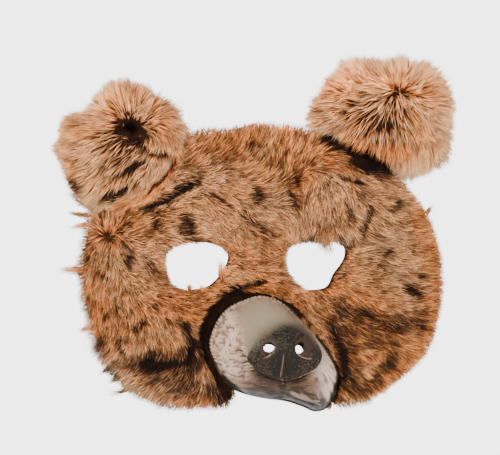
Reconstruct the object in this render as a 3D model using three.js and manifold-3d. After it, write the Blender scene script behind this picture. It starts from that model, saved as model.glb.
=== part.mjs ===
// A plush bear half mask: a felt-backed panel of long-haired fur cloth, a hollow vinyl muzzle and two fur
// ears. Millimetres, +Z up. The face looks along -Y and +X is to the right as seen from the front. The origin
// is on the inner side of the backing, at the bridge of the wearer's nose, between the eyes.
import * as THREE from "three";
import { mergeVertices } from "three/addons/utils/BufferGeometryUtils.js";
import Module from "manifold-3d";

const wasm = await Module();
wasm.setup();

// Face panel
const panelHalfWidth = 105;
const panelHeight = 162;
const sideSweep = 44;
const sideSweepPower = 2.3;
const browSweep = 12;
const jowlSweep = 13;
const swellHeight = 9;
const backingThickness = 2;
const backingInset = 2.5;
const backingEyeMargin = 1;

// Fur. Ranges are shares of the length or thickness of a lock.
const pileDepth = 7;
const edgePileDepth = 3;
const pileEdgeWidth = 15;
const foldWidth = 9;
const foldDepth = 4;
const foldOverrun = 0.1;
const foldToolRise = 9;
const lockLength = 28;
const lockWidth = 13;
const lockThickness = 4.5;
const lockSpacing = 22;
const lockShift = 10;
const lockTurn = 0.5;
const lockLengthRange = [0.75, 1.1];
const lockLiftRange = [0.3, 0.8];
const lockSunk = 0.7;
const lockHeelRise = 0.3;
const lockShares = [1, 0.8, 0.6, 0.45];
const lockOverhang = 3;
const edgeLockLength = 8.5;
const edgeLockLengthRange = [0.5, 1.1];
const edgeLockWidth = 10.4;
const edgeLockSpacing = 15;
const edgeLockCombing = 0.7;
const tuftWidth = 6.5;
const combReach = 24;

// Eye openings
const eyeHalfWidth = 17;
const eyeHalfHeight = 13;
const leftEyeX = -35;
const leftEyeZ = -2.6;
const rightEyeX = 33;
const rightEyeZ = -2.2;

// Muzzle
const muzzleWidth = 74;
const muzzleHeight = 66;
const muzzleReach = 46;
const muzzleWall = 2;
const muzzleNoseWall = 2.2;
const muzzleRoundness = 0.6;
const noseX = 15.5;
const noseZ = -50;
const flangeWidth = 4.5;
const flangeThickness = 1.5;
const lipRoll = 1.6;
const freeRimStarts = 0.03;
const nostrilRadius = 3.4;
const grooveWidth = 4;
const grooveDepth = 2;

// Nose pad. Its shift is a share of its size, and its edges are shares of its half size, from full height to
// none.
const padWidth = 40;
const padHeight = 26;
const padLift = 4;
const padRoll = 0.16;
const padShiftX = 0.04;
const padShiftZ = -0.1;
const padTopStretch = 0.7;
const padTopEdge = [0.5, 1.4];
const padLowerEdge = [0.8, 1.1];

// Ears. A lean is how far an ear's middle runs back for each millimetre to the right.
const leftEarX = -75;
const leftEarZ = 65;
const leftEarHalfWidth = 34;
const leftEarHalfHeight = 32;
const leftEarThickness = 30;
const leftEarLean = -0.25;
const leftEarSeed = 300;
const rightEarX = 73;
const rightEarZ = 83;
const rightEarHalfWidth = 38;
const rightEarHalfHeight = 26;
const rightEarThickness = 34;
const rightEarLean = 0.2;
const rightEarSeed = 700;
const earSink = 2;
const earRoundness = 0.75;
const earLockLength = 14;
const earLockWidth = 11;
const earLockLengthRange = [0.55, 1];
const earLockShift = 0.7;
const earLockStray = 0.5;
const earLockForward = 0.15;
const earLockBackward = 0.4;

// The left ear's folded top, its hollow and its rolled rim. Places are shares of the ear's half sizes, and a
// forward share is of its thickness.
const earFoldHalfWidth = 20;
const earFoldHalfHeight = 9;
const earFoldThickness = 14;
const earFoldX = 0.05;
const earFoldZ = 0.72;
const earFoldForward = 0.36;
const earHollowHalfWidth = 6;
const earHollowHalfHeight = 8;
const earHollowDepth = 11;
const earHollowX = 0.05;
const earHollowZ = 0.36;
const earRimRadius = 6;
const earRimForward = 0.2;

// Fits
const clearance = 0.3;
const sideGrowth = 2;
const pointGrowth = 3;
const finestDetail = 0.001;
const weldDistance = 0.0001;
const slopeStep = 1;

// Facet counts
const gridColumns = 16;
const gridRows = 12;
const sheetMargin = 1.05;
const panelSides = 56;
const eyeSides = 16;
const muzzleSides = 32;
const boreSides = 12;
const earSides = 16;
const earFoldSides = 10;
const earRimSides = 8;
const hollowSides = 12;
const hollowBands = 8;

// The cutting tools reach from well in front of the mask to well behind it.
const before = -muzzleReach - swellHeight - pileDepth - leftEarThickness;
const behind = sideSweep + browSweep + leftEarThickness;

const FORWARD = new THREE.Vector3(0, -1, 0);

function table(columns, rows) {
  return rows.map((row) => Object.fromEntries(columns.map((name, index) => [name, row[index]])));
}

// Outline of the panel. x is a share of panelHalfWidth, z of panelHeight.
const panelOutline = table(["x", "z"], [
  [-0.36, 0.45], [-0.16, 0.46], [-0.01, 0.47], [0.18, 0.47], [0.30, 0.45], [0.50, 0.43], [0.69, 0.36],
  [0.83, 0.26], [0.93, 0.17], [0.99, 0.06], [1.02, -0.06], [1.02, -0.13], [1.00, -0.20], [0.93, -0.32],
  [0.80, -0.41], [0.66, -0.47], [0.50, -0.50], [0.43, -0.51], [0.36, -0.48], [0.28, -0.36], [0.12, -0.30],
  [-0.02, -0.33], [-0.10, -0.43], [-0.14, -0.49], [-0.20, -0.51], [-0.31, -0.51], [-0.45, -0.51],
  [-0.58, -0.49], [-0.70, -0.45], [-0.80, -0.39], [-0.88, -0.31], [-0.94, -0.20], [-0.97, -0.10],
  [-0.97, 0.00], [-0.95, 0.09], [-0.92, 0.17], [-0.90, 0.25], [-0.80, 0.34], [-0.61, 0.40],
]);

// Outlines of the eye openings. x is a share of eyeHalfWidth, z of eyeHalfHeight.
const leftEyeOutline = table(["x", "z"], [
  [-0.99, 0.20], [-0.82, 0.73], [-0.42, 0.95], [0.08, 0.99], [0.65, 0.90], [1.02, 0.51], [0.89, -0.06],
  [0.58, -0.59], [0.25, -0.85], [-0.46, -0.98], [-0.82, -0.68],
]);
const rightEyeOutline = table(["x", "z"], [
  [-0.97, 0.26], [-0.82, 0.80], [-0.40, 1.00], [0.20, 1.00], [0.77, 1.00], [0.96, 0.66], [0.86, 0.20],
  [0.57, -0.31], [0.37, -0.84], [0.00, -0.97], [-0.40, -0.93], [-0.80, -0.45],
]);

// Rim of the muzzle, about the middle of the nose. x is a share of muzzleWidth, z of muzzleHeight. free is
// how far the rim has left the panel, as a share of muzzleReach, and fullness how squarely the wall rises.
const muzzleRim = table(["x", "z", "free", "fullness"], [
  [-0.19, 0.47, 0.00, 1.6], [-0.03, 0.42, 0.00, 1.7], [0.12, 0.26, 0.00, 2.2], [0.25, 0.10, 0.00, 2.8],
  [0.38, -0.12, 0.00, 3.0], [0.41, -0.28, 0.04, 3.2], [0.35, -0.47, 0.20, 3.4], [0.25, -0.52, 0.34, 3.6],
  [0.14, -0.47, 0.42, 3.6], [0.01, -0.42, 0.46, 3.6], [-0.19, -0.39, 0.40, 3.4], [-0.36, -0.34, 0.24, 3.2],
  [-0.47, -0.24, 0.06, 3.0], [-0.55, -0.07, 0.00, 2.8], [-0.58, 0.06, 0.00, 2.6], [-0.53, 0.23, 0.00, 2.3],
  [-0.45, 0.35, 0.00, 2.0], [-0.34, 0.42, 0.00, 1.7],
]);

// Rings of the muzzle's wall, as shares of the way from the nose to the rim.
const muzzleShares = [0.16, 0.3, 0.44, 0.58, 0.7, 0.8, 0.88, 0.94, 0.98];

// Nostrils about the middle of the nose. x is a share of padWidth, z of padHeight.
const nostrilPlaces = table(["x", "z"], [[-0.21, 0.07], [0.24, 0.13]]);

// Outlines of the ears about their middles. x is a share of the ear's half width, z of its half height.
const leftEarOutline = table(["x", "z"], [
  [-0.11, 1.08], [-0.36, 0.92], [-0.55, 0.62], [-0.90, 0.45], [-0.94, 0.25], [-1.08, 0.00], [-0.93, -0.28],
  [-0.78, -0.59], [-0.59, -0.85], [-0.21, -0.96], [0.16, -0.86], [0.43, -0.72], [0.63, -0.52],
  [0.78, -0.20], [0.88, 0.09], [0.83, 0.35], [0.64, 0.65], [0.28, 0.90],
]);
const rightEarOutline = table(["x", "z"], [
  [-1.00, 0.00], [-0.84, 0.50], [-0.60, 0.90], [-0.37, 1.05], [-0.13, 1.05], [0.05, 0.94], [0.26, 1.05],
  [0.49, 1.00], [0.69, 0.86], [0.86, 0.54], [0.93, 0.25], [0.86, -0.03], [0.89, -0.33], [0.86, -0.62],
  [0.72, -0.84], [0.50, -0.86], [0.13, -0.83], [-0.27, -0.64], [-0.81, -0.39],
]);

// The left ear's rolled rim, from its upper end round the lower right. radius is a share of earRimRadius.
const leftEarRim = table(["x", "z", "radius"], [
  [0.93, 0.18, 0.5], [0.88, -0.06, 0.8], [0.77, -0.34, 1.0], [0.62, -0.58, 1.0], [0.42, -0.78, 1.0],
  [0.14, -0.92, 0.8], [-0.18, -1.00, 0.5],
]);

// Rings of an ear, in quarter turns from the middle of its front over the rim.
const earLevels = [0.25, 0.5, 0.75, 1, 1.3, 1.65];

// Bands of locks on an ear. level is in quarter turns, count a share of the outline's places, length of
// earLockLength, and flare is how far the locks stand away.
const earBands = table(["level", "count", "length", "flare"], [
  [0.25, 0.3, 1.0, 0.1], [0.55, 0.5, 1.0, 0.2], [0.8, 0.7, 1.0, 0.4], [1.05, 0.85, 0.9, 0.6],
]);

// Soft swells of the padded face. x and reach are shares of panelHalfWidth, z of panelHeight, height of
// swellHeight.
const swells = table(["x", "z", "reach", "height"], [
  [-0.62, -0.27, 0.38, 1.0],
  [0.74, -0.25, 0.36, 0.9],
  [-0.74, 0.08, 0.26, 0.5],
  [0.66, 0.16, 0.28, 0.6],
  [-0.08, 0.34, 0.32, 0.5],
  [0.02, -0.02, 0.16, 0.4],
]);

// Folds pressed into the fur, from one end to the other. x is a share of panelHalfWidth, z of panelHeight.
const furFolds = table(["x", "z", "toX", "toZ"], [
  [-0.47, 0.22, -0.28, 0.30],
  [-0.26, 0.25, -0.09, 0.17],
  [-0.09, 0.17, 0.13, 0.07],
  [0.34, 0.34, 0.64, 0.27],
  [-0.40, -0.21, -0.34, -0.29],
]);

// Single tufts that hang over an eye or stand out at the edge. x is a share of panelHalfWidth, z of
// panelHeight, length of lockLength, turn is in degrees from +X towards +Z.
const tufts = table(["x", "z", "turn", "length"], [
  [0.45, 0.12, 236, 0.78],
  [-0.13, -0.03, 168, 0.50],
  [-0.28, -0.13, 95, 0.42],
  [-0.94, -0.01, 187, 0.72],
  [-0.92, 0.15, 160, 0.50],
  [-0.80, -0.41, 200, 0.45],
  [0.00, 0.45, 75, 0.35],
]);

// Sections of a lock. along is a share of its length, width of its width, thick of lockThickness, and sunk
// and lifted say how much of its sinking and its lift there is.
const lockStations = table(["along", "sunk", "lifted", "width", "thick"], [
  [-0.10, 1.0, 0.0, 0.85, 1.0],
  [0.45, 0.4, 0.4, 0.95, 0.95],
]);

// Sections of a fold's tool, as shares of the fold's length.
const foldStations = [0.2, 0.5, 0.8];

// The way the hair is combed. turn is in degrees from +X towards +Z, as seen from the front.
const comb = table(["x", "z", "turn"], [
  [-0.90, 0.16, 130], [-0.85, 0.02, 265], [-0.68, -0.03, 310], [-0.55, -0.10, 345], [-0.80, -0.24, 245],
  [-0.58, -0.27, 268], [-0.36, -0.36, 280], [-0.58, -0.45, 250], [-0.31, 0.34, 25], [-0.04, 0.43, 80],
  [0.20, 0.38, 100], [0.24, 0.20, 280], [0.50, 0.22, 235], [0.03, 0.04, 350], [-0.30, 0.14, 200],
  [0.72, 0.00, 0], [0.72, -0.27, 340], [0.94, -0.12, 350], [0.56, -0.44, 300], [0.80, 0.20, 20],
]);

// A smooth closed curve through the rows of a table: a Catmull-Rom blend of every column, at t from 0 to 1.
function rowAt(rows, t) {
  const place = t * rows.length;
  const first = Math.floor(place);
  const f = place - first;
  const [a, b, c, d] = [-1, 0, 1, 2].map((step) => rows[(first + step + rows.length) % rows.length]);
  return Object.fromEntries(Object.keys(b).map((key) => [key, 0.5 * (
    2 * b[key] + (c[key] - a[key]) * f
    + (2 * a[key] - 5 * b[key] + 4 * c[key] - d[key]) * f * f
    + (3 * b[key] - a[key] - 3 * c[key] + d[key]) * f * f * f)]));
}

function outlinePoints(rows, count, scaleX, scaleZ, centreX, centreZ) {
  return Array.from({ length: count }, (_, index) => {
    const row = rowAt(rows, index / count);
    return new THREE.Vector2(centreX + row.x * scaleX, centreZ + row.z * scaleZ);
  });
}

// Outline moved towards its inner side, or outwards where the amount is negative.
function insetOutline(points, amount) {
  const turn = Math.sign(THREE.ShapeUtils.area(points));
  return points.map((point, index) => {
    const before = points[(index + points.length - 1) % points.length];
    const after = points[(index + 1) % points.length];
    const along = after.clone().sub(before).normalize();
    return new THREE.Vector2(point.x - turn * along.y * amount, point.y + turn * along.x * amount);
  });
}

function distanceToOutline(points, x, z) {
  let nearest = Infinity;
  points.forEach((start, index) => {
    const end = points[(index + 1) % points.length];
    const span = end.clone().sub(start);
    const share = THREE.MathUtils.clamp(
      ((x - start.x) * span.x + (z - start.y) * span.y) / span.lengthSq(), 0, 1);
    nearest = Math.min(nearest, Math.hypot(start.x + share * span.x - x, start.y + share * span.y - z));
  });
  return nearest;
}

function insideOutline(points, x, z) {
  let inside = false;
  points.forEach((start, index) => {
    const end = points[(index + 1) % points.length];
    const crosses = (start.y > z) !== (end.y > z);
    if (crosses && x < start.x + ((z - start.y) * (end.x - start.x)) / (end.y - start.y)) inside = !inside;
  });
  return inside;
}

// A repeatable number from 0 to 1 for each lock, so that no two lie alike.
function scatter(seed) {
  const wave = Math.sin(seed * 12.9898) * 43758.5453;
  return wave - Math.floor(wave);
}

function within([least, most], seed) {
  return THREE.MathUtils.lerp(least, most, scatter(seed));
}

const panelPoints = outlinePoints(panelOutline, panelSides, panelHalfWidth, panelHeight, 0, 0);
const leftEyePoints = outlinePoints(
  leftEyeOutline, eyeSides, eyeHalfWidth, eyeHalfHeight, leftEyeX, leftEyeZ);
const rightEyePoints = outlinePoints(
  rightEyeOutline, eyeSides, eyeHalfWidth, eyeHalfHeight, rightEyeX, rightEyeZ);
const muzzlePoints = outlinePoints(muzzleRim, muzzleSides, muzzleWidth, muzzleHeight, noseX, noseZ);
const leftEarPoints = outlinePoints(
  leftEarOutline, earSides, leftEarHalfWidth, leftEarHalfHeight, leftEarX, leftEarZ);
const rightEarPoints = outlinePoints(
  rightEarOutline, earSides, rightEarHalfWidth, rightEarHalfHeight, rightEarX, rightEarZ);

// Inner side of the backing: it sweeps back to the sides, brow and jowls, and the swells push it forward.
function faceBack(x, z) {
  const across = Math.abs(x) / panelHalfWidth;
  const up = Math.max(z, 0) / (panelHeight / 2);
  const down = Math.max(-z, 0) / (panelHeight / 2);
  const swell = swells.reduce((sum, row) => {
    const dx = x - row.x * panelHalfWidth;
    const dz = z - row.z * panelHeight;
    const reach = row.reach * panelHalfWidth;
    const gone = Math.exp(-(dx * dx + dz * dz) / (reach * reach));
    return sum + row.height * swellHeight * gone;
  }, 0);
  return sideSweep * across ** sideSweepPower + browSweep * up * up + jowlSweep * down * down - swell;
}

const originBack = faceBack(0, 0);

// The slope makes up for the lean of the surface, so that a wall keeps its thickness on the swept sides.
function slopeFactor(x, z) {
  const slopeX = (faceBack(x + slopeStep, z) - faceBack(x - slopeStep, z)) / (2 * slopeStep);
  const slopeZ = (faceBack(x, z + slopeStep) - faceBack(x, z - slopeStep)) / (2 * slopeStep);
  return Math.hypot(1, slopeX, slopeZ);
}

function inFrontOfFace(x, z, distance) {
  return faceBack(x, z) - originBack - distance * slopeFactor(x, z);
}

function pileAt(x, z) {
  const edge = Math.min(
    distanceToOutline(panelPoints, x, z),
    distanceToOutline(leftEyePoints, x, z),
    distanceToOutline(rightEyePoints, x, z));
  const inwards = THREE.MathUtils.smoothstep(edge, 0, pileEdgeWidth);
  return THREE.MathUtils.lerp(edgePileDepth, pileDepth, inwards);
}

const furBase = backingThickness + clearance;
const backingInner = (x, z) => inFrontOfFace(x, z, 0);
const backingOuter = (x, z) => inFrontOfFace(x, z, backingThickness);
const furInner = (x, z) => inFrontOfFace(x, z, furBase);
const furOuter = (x, z) => inFrontOfFace(x, z, furBase + pileAt(x, z));

function solidFromLists(positions, triangles) {
  return new wasm.Manifold(new wasm.Mesh({
    numProp: 3,
    vertProperties: new Float32Array(positions),
    triVerts: new Uint32Array(triangles),
  }));
}

function solidFromGeometry(geometry) {
  geometry.deleteAttribute("normal");
  geometry.deleteAttribute("uv");
  const merged = mergeVertices(geometry, weldDistance);
  return solidFromLists(merged.attributes.position.array, merged.index.array);
}

// A closed sheet over a rectangle in X and Z, between a front and a back surface. All sheets share one grid.
function sheetBetween(front, back) {
  const left = -sheetMargin * panelHalfWidth;
  const width = 2 * sheetMargin * panelHalfWidth;
  const bottom = (-sheetMargin * panelHeight) / 2;
  const height = sheetMargin * panelHeight;
  const columns = gridColumns + 1;
  const layer = columns * (gridRows + 1);
  const positions = [];
  const triangles = [];
  for (const surface of [front, back]) {
    for (let row = 0; row <= gridRows; row += 1) {
      for (let column = 0; column <= gridColumns; column += 1) {
        const x = left + (width * column) / gridColumns;
        const z = bottom + (height * row) / gridRows;
        positions.push(x, surface(x, z), z);
      }
    }
  }
  const quad = (a, b, c, d) => triangles.push(a, b, c, a, c, d);
  for (let row = 0; row < gridRows; row += 1) {
    for (let column = 0; column < gridColumns; column += 1) {
      const corner = row * columns + column;
      quad(corner, corner + 1, corner + columns + 1, corner + columns);
      quad(layer + corner, layer + corner + columns, layer + corner + columns + 1, layer + corner + 1);
    }
  }
  const top = gridRows * columns;
  for (let column = 0; column < gridColumns; column += 1) {
    quad(column, layer + column, layer + column + 1, column + 1);
    quad(top + column, top + column + 1, layer + top + column + 1, layer + top + column);
  }
  for (let row = 0; row < gridRows; row += 1) {
    const start = row * columns;
    const end = start + gridColumns;
    quad(start, start + columns, layer + start + columns, layer + start);
    quad(end, layer + end, layer + end + columns, end + columns);
  }
  return solidFromLists(positions, triangles);
}

// An outline in X and Z carried straight along Y, from the front to the back.
function prism(points, front, back) {
  const shape = new THREE.Shape(points);
  const geometry = new THREE.ExtrudeGeometry(shape, { depth: back - front, bevelEnabled: false });
  geometry.rotateX(Math.PI / 2);
  geometry.translate(0, back, 0);
  return solidFromGeometry(geometry);
}

// Rings of equal length joined into one closed body: the first and the last ring close in a point each. The
// faces are turned to point out, whichever way the rings run.
function solidFromRings(firstPoint, rings, lastPoint) {
  const count = rings[0].length;
  const positions = [firstPoint, ...rings.flat(), lastPoint].flatMap((point) => [point.x, point.y, point.z]);
  const last = 1 + rings.length * count;
  const triangles = [];
  for (let side = 0; side < count; side += 1) {
    const next = (side + 1) % count;
    triangles.push(0, 1 + side, 1 + next);
    for (let ring = 0; ring + 1 < rings.length; ring += 1) {
      const near = 1 + ring * count;
      const far = near + count;
      triangles.push(near + side, far + side, far + next, near + side, far + next, near + next);
    }
    const end = last - count;
    triangles.push(end + side, last, end + next);
  }
  const solid = solidFromLists(positions, triangles);
  return solid.volume() < 0 ? solidFromLists(positions, [...triangles].reverse()) : solid;
}

// One lock of hair: two sections and a point, bent and tapering. It starts sunk in the skin.
function lockOfHair({ root, flow, normal, length, width, lift }, grow = 0) {
  const side = new THREE.Vector3().crossVectors(flow, normal).normalize();
  const depth = lockThickness * lockSunk;
  const spot = (along, rise, across) => root.clone()
    .addScaledVector(flow, along).addScaledVector(normal, rise).addScaledVector(side, across);
  const rings = lockStations.map((row) => {
    const along = row.along * length - (row.along < 0 ? grow : 0);
    const half = (row.width * width) / 2 + sideGrowth * grow;
    const low = row.lifted * lift - row.sunk * depth - grow;
    const top = low + row.thick * lockThickness + pointGrowth * grow;
    return [spot(along, low, half), spot(along, top, 0), spot(along, low, -half)];
  });
  const tip = spot(length + pointGrowth * grow, lift, 0);
  const heel = rings[0][0].clone().add(rings[0][2]).multiplyScalar(0.5).lerp(rings[0][1], lockHeelRise);
  return solidFromRings(heel, rings, tip);
}

function joinLocks(skin, locks, grow = 0) {
  return locks.reduce((solid, lock) => solid.add(lockOfHair(lock, grow)), skin);
}

function combAt(x, z) {
  const flow = new THREE.Vector2();
  for (const row of comb) {
    const dx = x - row.x * panelHalfWidth;
    const dz = z - row.z * panelHeight;
    const weight = Math.exp(-(dx * dx + dz * dz) / (2 * combReach * combReach));
    const turn = THREE.MathUtils.degToRad(row.turn);
    flow.x += weight * Math.cos(turn);
    flow.y += weight * Math.sin(turn);
  }
  return flow.normalize();
}

// Direction in X and Z laid onto the fur's surface.
function laidOnFace(x, z, direction) {
  const ahead = furOuter(x + slopeStep * direction.x, z + slopeStep * direction.y);
  const rise = (ahead - furOuter(x, z)) / slopeStep;
  return new THREE.Vector3(direction.x, rise, direction.y).normalize();
}

function faceNormal(x, z) {
  const acrossX = laidOnFace(x, z, new THREE.Vector2(1, 0));
  const acrossZ = laidOnFace(x, z, new THREE.Vector2(0, 1));
  return acrossX.cross(acrossZ).normalize();
}

function faceLock(x, z, direction, length, width, lift) {
  return {
    root: new THREE.Vector3(x, furOuter(x, z), z),
    flow: laidOnFace(x, z, direction),
    normal: faceNormal(x, z),
    length,
    width,
    lift,
  };
}

// Whether a lock stays off the eyes, and its tip within lockOverhang of the panel.
function tipIsFree(x, z, direction, length) {
  const overEye = [0.5, 1].some((share) => [leftEyePoints, rightEyePoints].some((points) =>
    insideOutline(points, x + share * length * direction.x, z + share * length * direction.y)));
  const tipX = x + length * direction.x;
  const tipZ = z + length * direction.y;
  const onPanel = insideOutline(panelPoints, tipX, tipZ)
    || distanceToOutline(panelPoints, tipX, tipZ) < lockOverhang;
  return onPanel && !overEye;
}

// Locks over the whole panel, in staggered rows, apart from where the eyes, muzzle and ears are.
function panelLocks() {
  const locks = [];
  const keepClear = [leftEyePoints, rightEyePoints, muzzlePoints, leftEarPoints, rightEarPoints];
  const rows = Math.ceil(panelHeight / lockSpacing);
  const columns = Math.ceil((2 * panelHalfWidth) / lockSpacing);
  for (let row = 0; row <= rows; row += 1) {
    for (let column = 0; column <= columns; column += 1) {
      const seed = row * columns + column + 1;
      const stagger = row % 2 === 0 ? 0.5 : 0;
      const x = -panelHalfWidth + (column + stagger) * lockSpacing + lockShift * scatter(seed);
      const z = -panelHeight / 2 + row * lockSpacing + lockShift * scatter(seed + 0.3);
      const edge = distanceToOutline(panelPoints, x, z);
      const inPanel = insideOutline(panelPoints, x, z) && edge > lockWidth / 2;
      const covered = keepClear.some((points) =>
        insideOutline(points, x, z) || distanceToOutline(points, x, z) < lockWidth / 2);
      if (inPanel && !covered) {
        const turn = lockTurn * (scatter(seed + 0.6) - 0.5);
        const direction = combAt(x, z).rotateAround(new THREE.Vector2(), turn);
        const length = lockLength * within(lockLengthRange, seed + 0.8);
        const lift = lockThickness * within(lockLiftRange, seed + 0.9);
        const free = lockShares.find((share) => tipIsFree(x, z, direction, share * length));
        if (free) locks.push(faceLock(x, z, direction, free * length, lockWidth, lift));
      }
    }
  }
  return locks;
}

// Locks that stand out past the edge of the panel, all round but for the muzzle and the seats of the ears.
function edgeLocks() {
  const perimeter = panelPoints.reduce((sum, point, index) =>
    sum + point.distanceTo(panelPoints[(index + 1) % panelPoints.length]), 0);
  const count = Math.round(perimeter / edgeLockSpacing);
  const rim = outlinePoints(panelOutline, count, panelHalfWidth, panelHeight, 0, 0);
  const roots = insetOutline(rim, edgePileDepth);
  return roots.flatMap((point, index) => {
    const outwards = rim[index].clone().sub(point).normalize();
    const direction = outwards.add(combAt(point.x, point.y).multiplyScalar(edgeLockCombing)).normalize();
    const covered = [muzzlePoints, leftEarPoints, rightEarPoints].some((points) =>
      insideOutline(points, point.x, point.y)
      || distanceToOutline(points, point.x, point.y) < lockWidth / 2);
    if (covered) return [];
    const length = edgeLockLength * within(edgeLockLengthRange, index + 0.4);
    return [faceLock(point.x, point.y, direction, length, edgeLockWidth, 0)];
  });
}

function singleTufts() {
  return tufts.map((row) => {
    const turn = THREE.MathUtils.degToRad(row.turn);
    const direction = new THREE.Vector2(Math.cos(turn), Math.sin(turn));
    const length = row.length * lockLength;
    return faceLock(row.x * panelHalfWidth, row.z * panelHeight, direction, length, tuftWidth, 0);
  });
}

// Where the muzzle's outer wall lies. t runs round the rim, share from the nose, 0, to the rim, 1.
function muzzleAt(t, share, grow = 0) {
  const row = rowAt(muzzleRim, t);
  const x = noseX + row.x * muzzleWidth * share;
  const z = noseZ + row.z * muzzleHeight * share;
  const rimX = noseX + row.x * muzzleWidth;
  const rimZ = noseZ + row.z * muzzleHeight;
  const free = Math.max(row.free, 0);
  const panelSide = backingInner(rimX, rimZ) + clearance;
  const front = backingInner(noseX, noseZ) - muzzleReach;
  const rimY = panelSide - free * muzzleReach;
  const rise = (1 - share ** row.fullness) ** muzzleRoundness;
  const lift = padLift * padMask(x, z) - grooveDepth * grooveMask(x, z);
  const y = THREE.MathUtils.lerp(rimY, front, rise) - lift * Math.min(1, 2 * (1 - share));
  return new THREE.Vector3(x, y - grow * (1 - share), z);
}

// 1 on the nose pad, 0 off it: a broad ellipse, rolled a little, with a soft upper and a crisp lower edge.
function padMask(x, z) {
  const dx = x - noseX - padShiftX * padWidth;
  const dz = z - noseZ - padShiftZ * padHeight;
  const across = (dx * Math.cos(padRoll) - dz * Math.sin(padRoll)) / (padWidth / 2);
  const up = (dx * Math.sin(padRoll) + dz * Math.cos(padRoll)) / (padHeight / 2);
  const reach = Math.hypot(across, up > 0 ? up * padTopStretch : up);
  const [full, none] = up > 0 ? padTopEdge : padLowerEdge;
  return 1 - THREE.MathUtils.smoothstep(reach, full, none);
}

// The groove from the middle of the nose pad down to the lip.
function grooveMask(x, z) {
  const below = THREE.MathUtils.smoothstep(noseZ - z, 0, grooveWidth);
  const off = (x - noseX) / grooveWidth;
  return below * Math.exp(-off * off * 2);
}

function muzzleRing(share, grow = 0) {
  return Array.from({ length: muzzleSides }, (_, side) => muzzleAt(side / muzzleSides, share, grow));
}

// Moves a ring in its own plane, away from the nose, and along Y.
function widenRing(ring, amount, shift) {
  const flat = insetOutline(ring.map((point) => new THREE.Vector2(point.x, point.z)), -1);
  return ring.map((point, side) => {
    const away = new THREE.Vector2(flat[side].x - point.x, flat[side].y - point.z);
    const wider = new THREE.Vector3(away.x, 0, away.y).multiplyScalar(amount(side));
    return point.clone().add(wider).add(new THREE.Vector3(0, shift(side), 0));
  });
}

// Width of what turns outwards at each place of the rim: a flange behind the panel, a rolled lip below.
function rimTurnout(side) {
  const row = rowAt(muzzleRim, side / muzzleSides);
  return row.free > freeRimStarts ? lipRoll : flangeWidth;
}

// The flange follows the backing's inner side at its own place.
function flangeRing(rim, extra, depth) {
  const wide = widenRing(rim, (side) => rimTurnout(side) + extra, () => 0);
  return wide.map((point, side) => {
    const panelStep = rimTurnout(side) === flangeWidth
      ? backingInner(point.x, point.z) + clearance - point.y : 0;
    return new THREE.Vector3(point.x, point.y + panelStep + depth, point.z);
  });
}

// The muzzle grown by a clearance and filled, as a tool for the opening that it sits in.
function muzzleFilled(grow) {
  const outer = muzzleShares.map((share) =>
    widenRing(muzzleRing(share, grow), () => grow * share, () => -grow * (1 - share)));
  const rim = muzzleRing(1);
  const grownRim = widenRing(rim, () => grow, () => -grow);
  const back = flangeThickness + grow;
  const innerRim = widenRing(rim, () => -muzzleWall - grow, () => back);
  const rings = [...outer, grownRim, flangeRing(rim, grow, -grow), flangeRing(rim, grow, back), innerRim];
  const nose = muzzleAt(0, 0, grow).add(new THREE.Vector3(0, -grow, 0));
  const backY = backingInner(noseX, noseZ) + flangeThickness + clearance + grow;
  return solidFromRings(nose, rings, new THREE.Vector3(noseX, backY, noseZ));
}

// The hollow moulding: the outer wall from the nose to the rim, the turned-out edge, and the inner wall.
function makeMuzzle() {
  const outer = muzzleShares.map((share) => muzzleRing(share));
  const rim = muzzleRing(1);
  const innerShares = muzzleShares.filter((_, index) => index % 2 === 0);
  const innerRing = (share) => widenRing(
    muzzleRing(share), () => -muzzleWall * share, () => muzzleNoseWall);
  const innerRim = widenRing(rim, () => -muzzleWall, () => flangeThickness);
  const rings = [
    ...outer, rim, flangeRing(rim, 0, 0), flangeRing(rim, 0, flangeThickness), innerRim,
    ...innerShares.map(innerRing).reverse(),
  ];
  const nose = muzzleAt(0, 0);
  const insideNose = nose.clone().add(new THREE.Vector3(0, muzzleNoseWall, 0));
  const shell = solidFromRings(nose, rings, insideNose);
  return nostrils().reduce((solid, bore) => solid.subtract(bore), shell);
}

// Two open nostrils, bored straight back through the wall.
function nostrils() {
  return nostrilPlaces.map((row) => {
    const bore = new THREE.CylinderGeometry(nostrilRadius, nostrilRadius, muzzleReach, boreSides);
    const front = backingInner(noseX, noseZ) - muzzleReach;
    bore.translate(noseX + row.x * padWidth, front, noseZ + row.z * padHeight);
    return solidFromGeometry(bore);
  });
}

// A stuffed pouch about its outline: rings from the front pole over the rim to the back pole.
function pouch(points, centre, thickness, lean, grow = 0) {
  const levels = earLevels.map((level) => (level * Math.PI) / 2);
  const yAt = (x) => centre.y + lean * (x - centre.x);
  const rings = levels.map((level) => {
    const spread = Math.sin(level) ** earRoundness;
    return points.map((point) => {
      const x = centre.x + (point.x - centre.x) * spread;
      const z = centre.z + (point.y - centre.z) * spread;
      const out = new THREE.Vector2(point.x - centre.x, point.y - centre.z).normalize().multiplyScalar(grow);
      const y = yAt(x) - (thickness / 2 + grow) * Math.cos(level);
      return new THREE.Vector3(x + out.x * spread, y, z + out.y * spread);
    });
  });
  const pole = (turn) => new THREE.Vector3(centre.x, centre.y - turn * (thickness / 2 + grow), centre.z);
  return solidFromRings(pole(1), rings, pole(-1));
}

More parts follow.
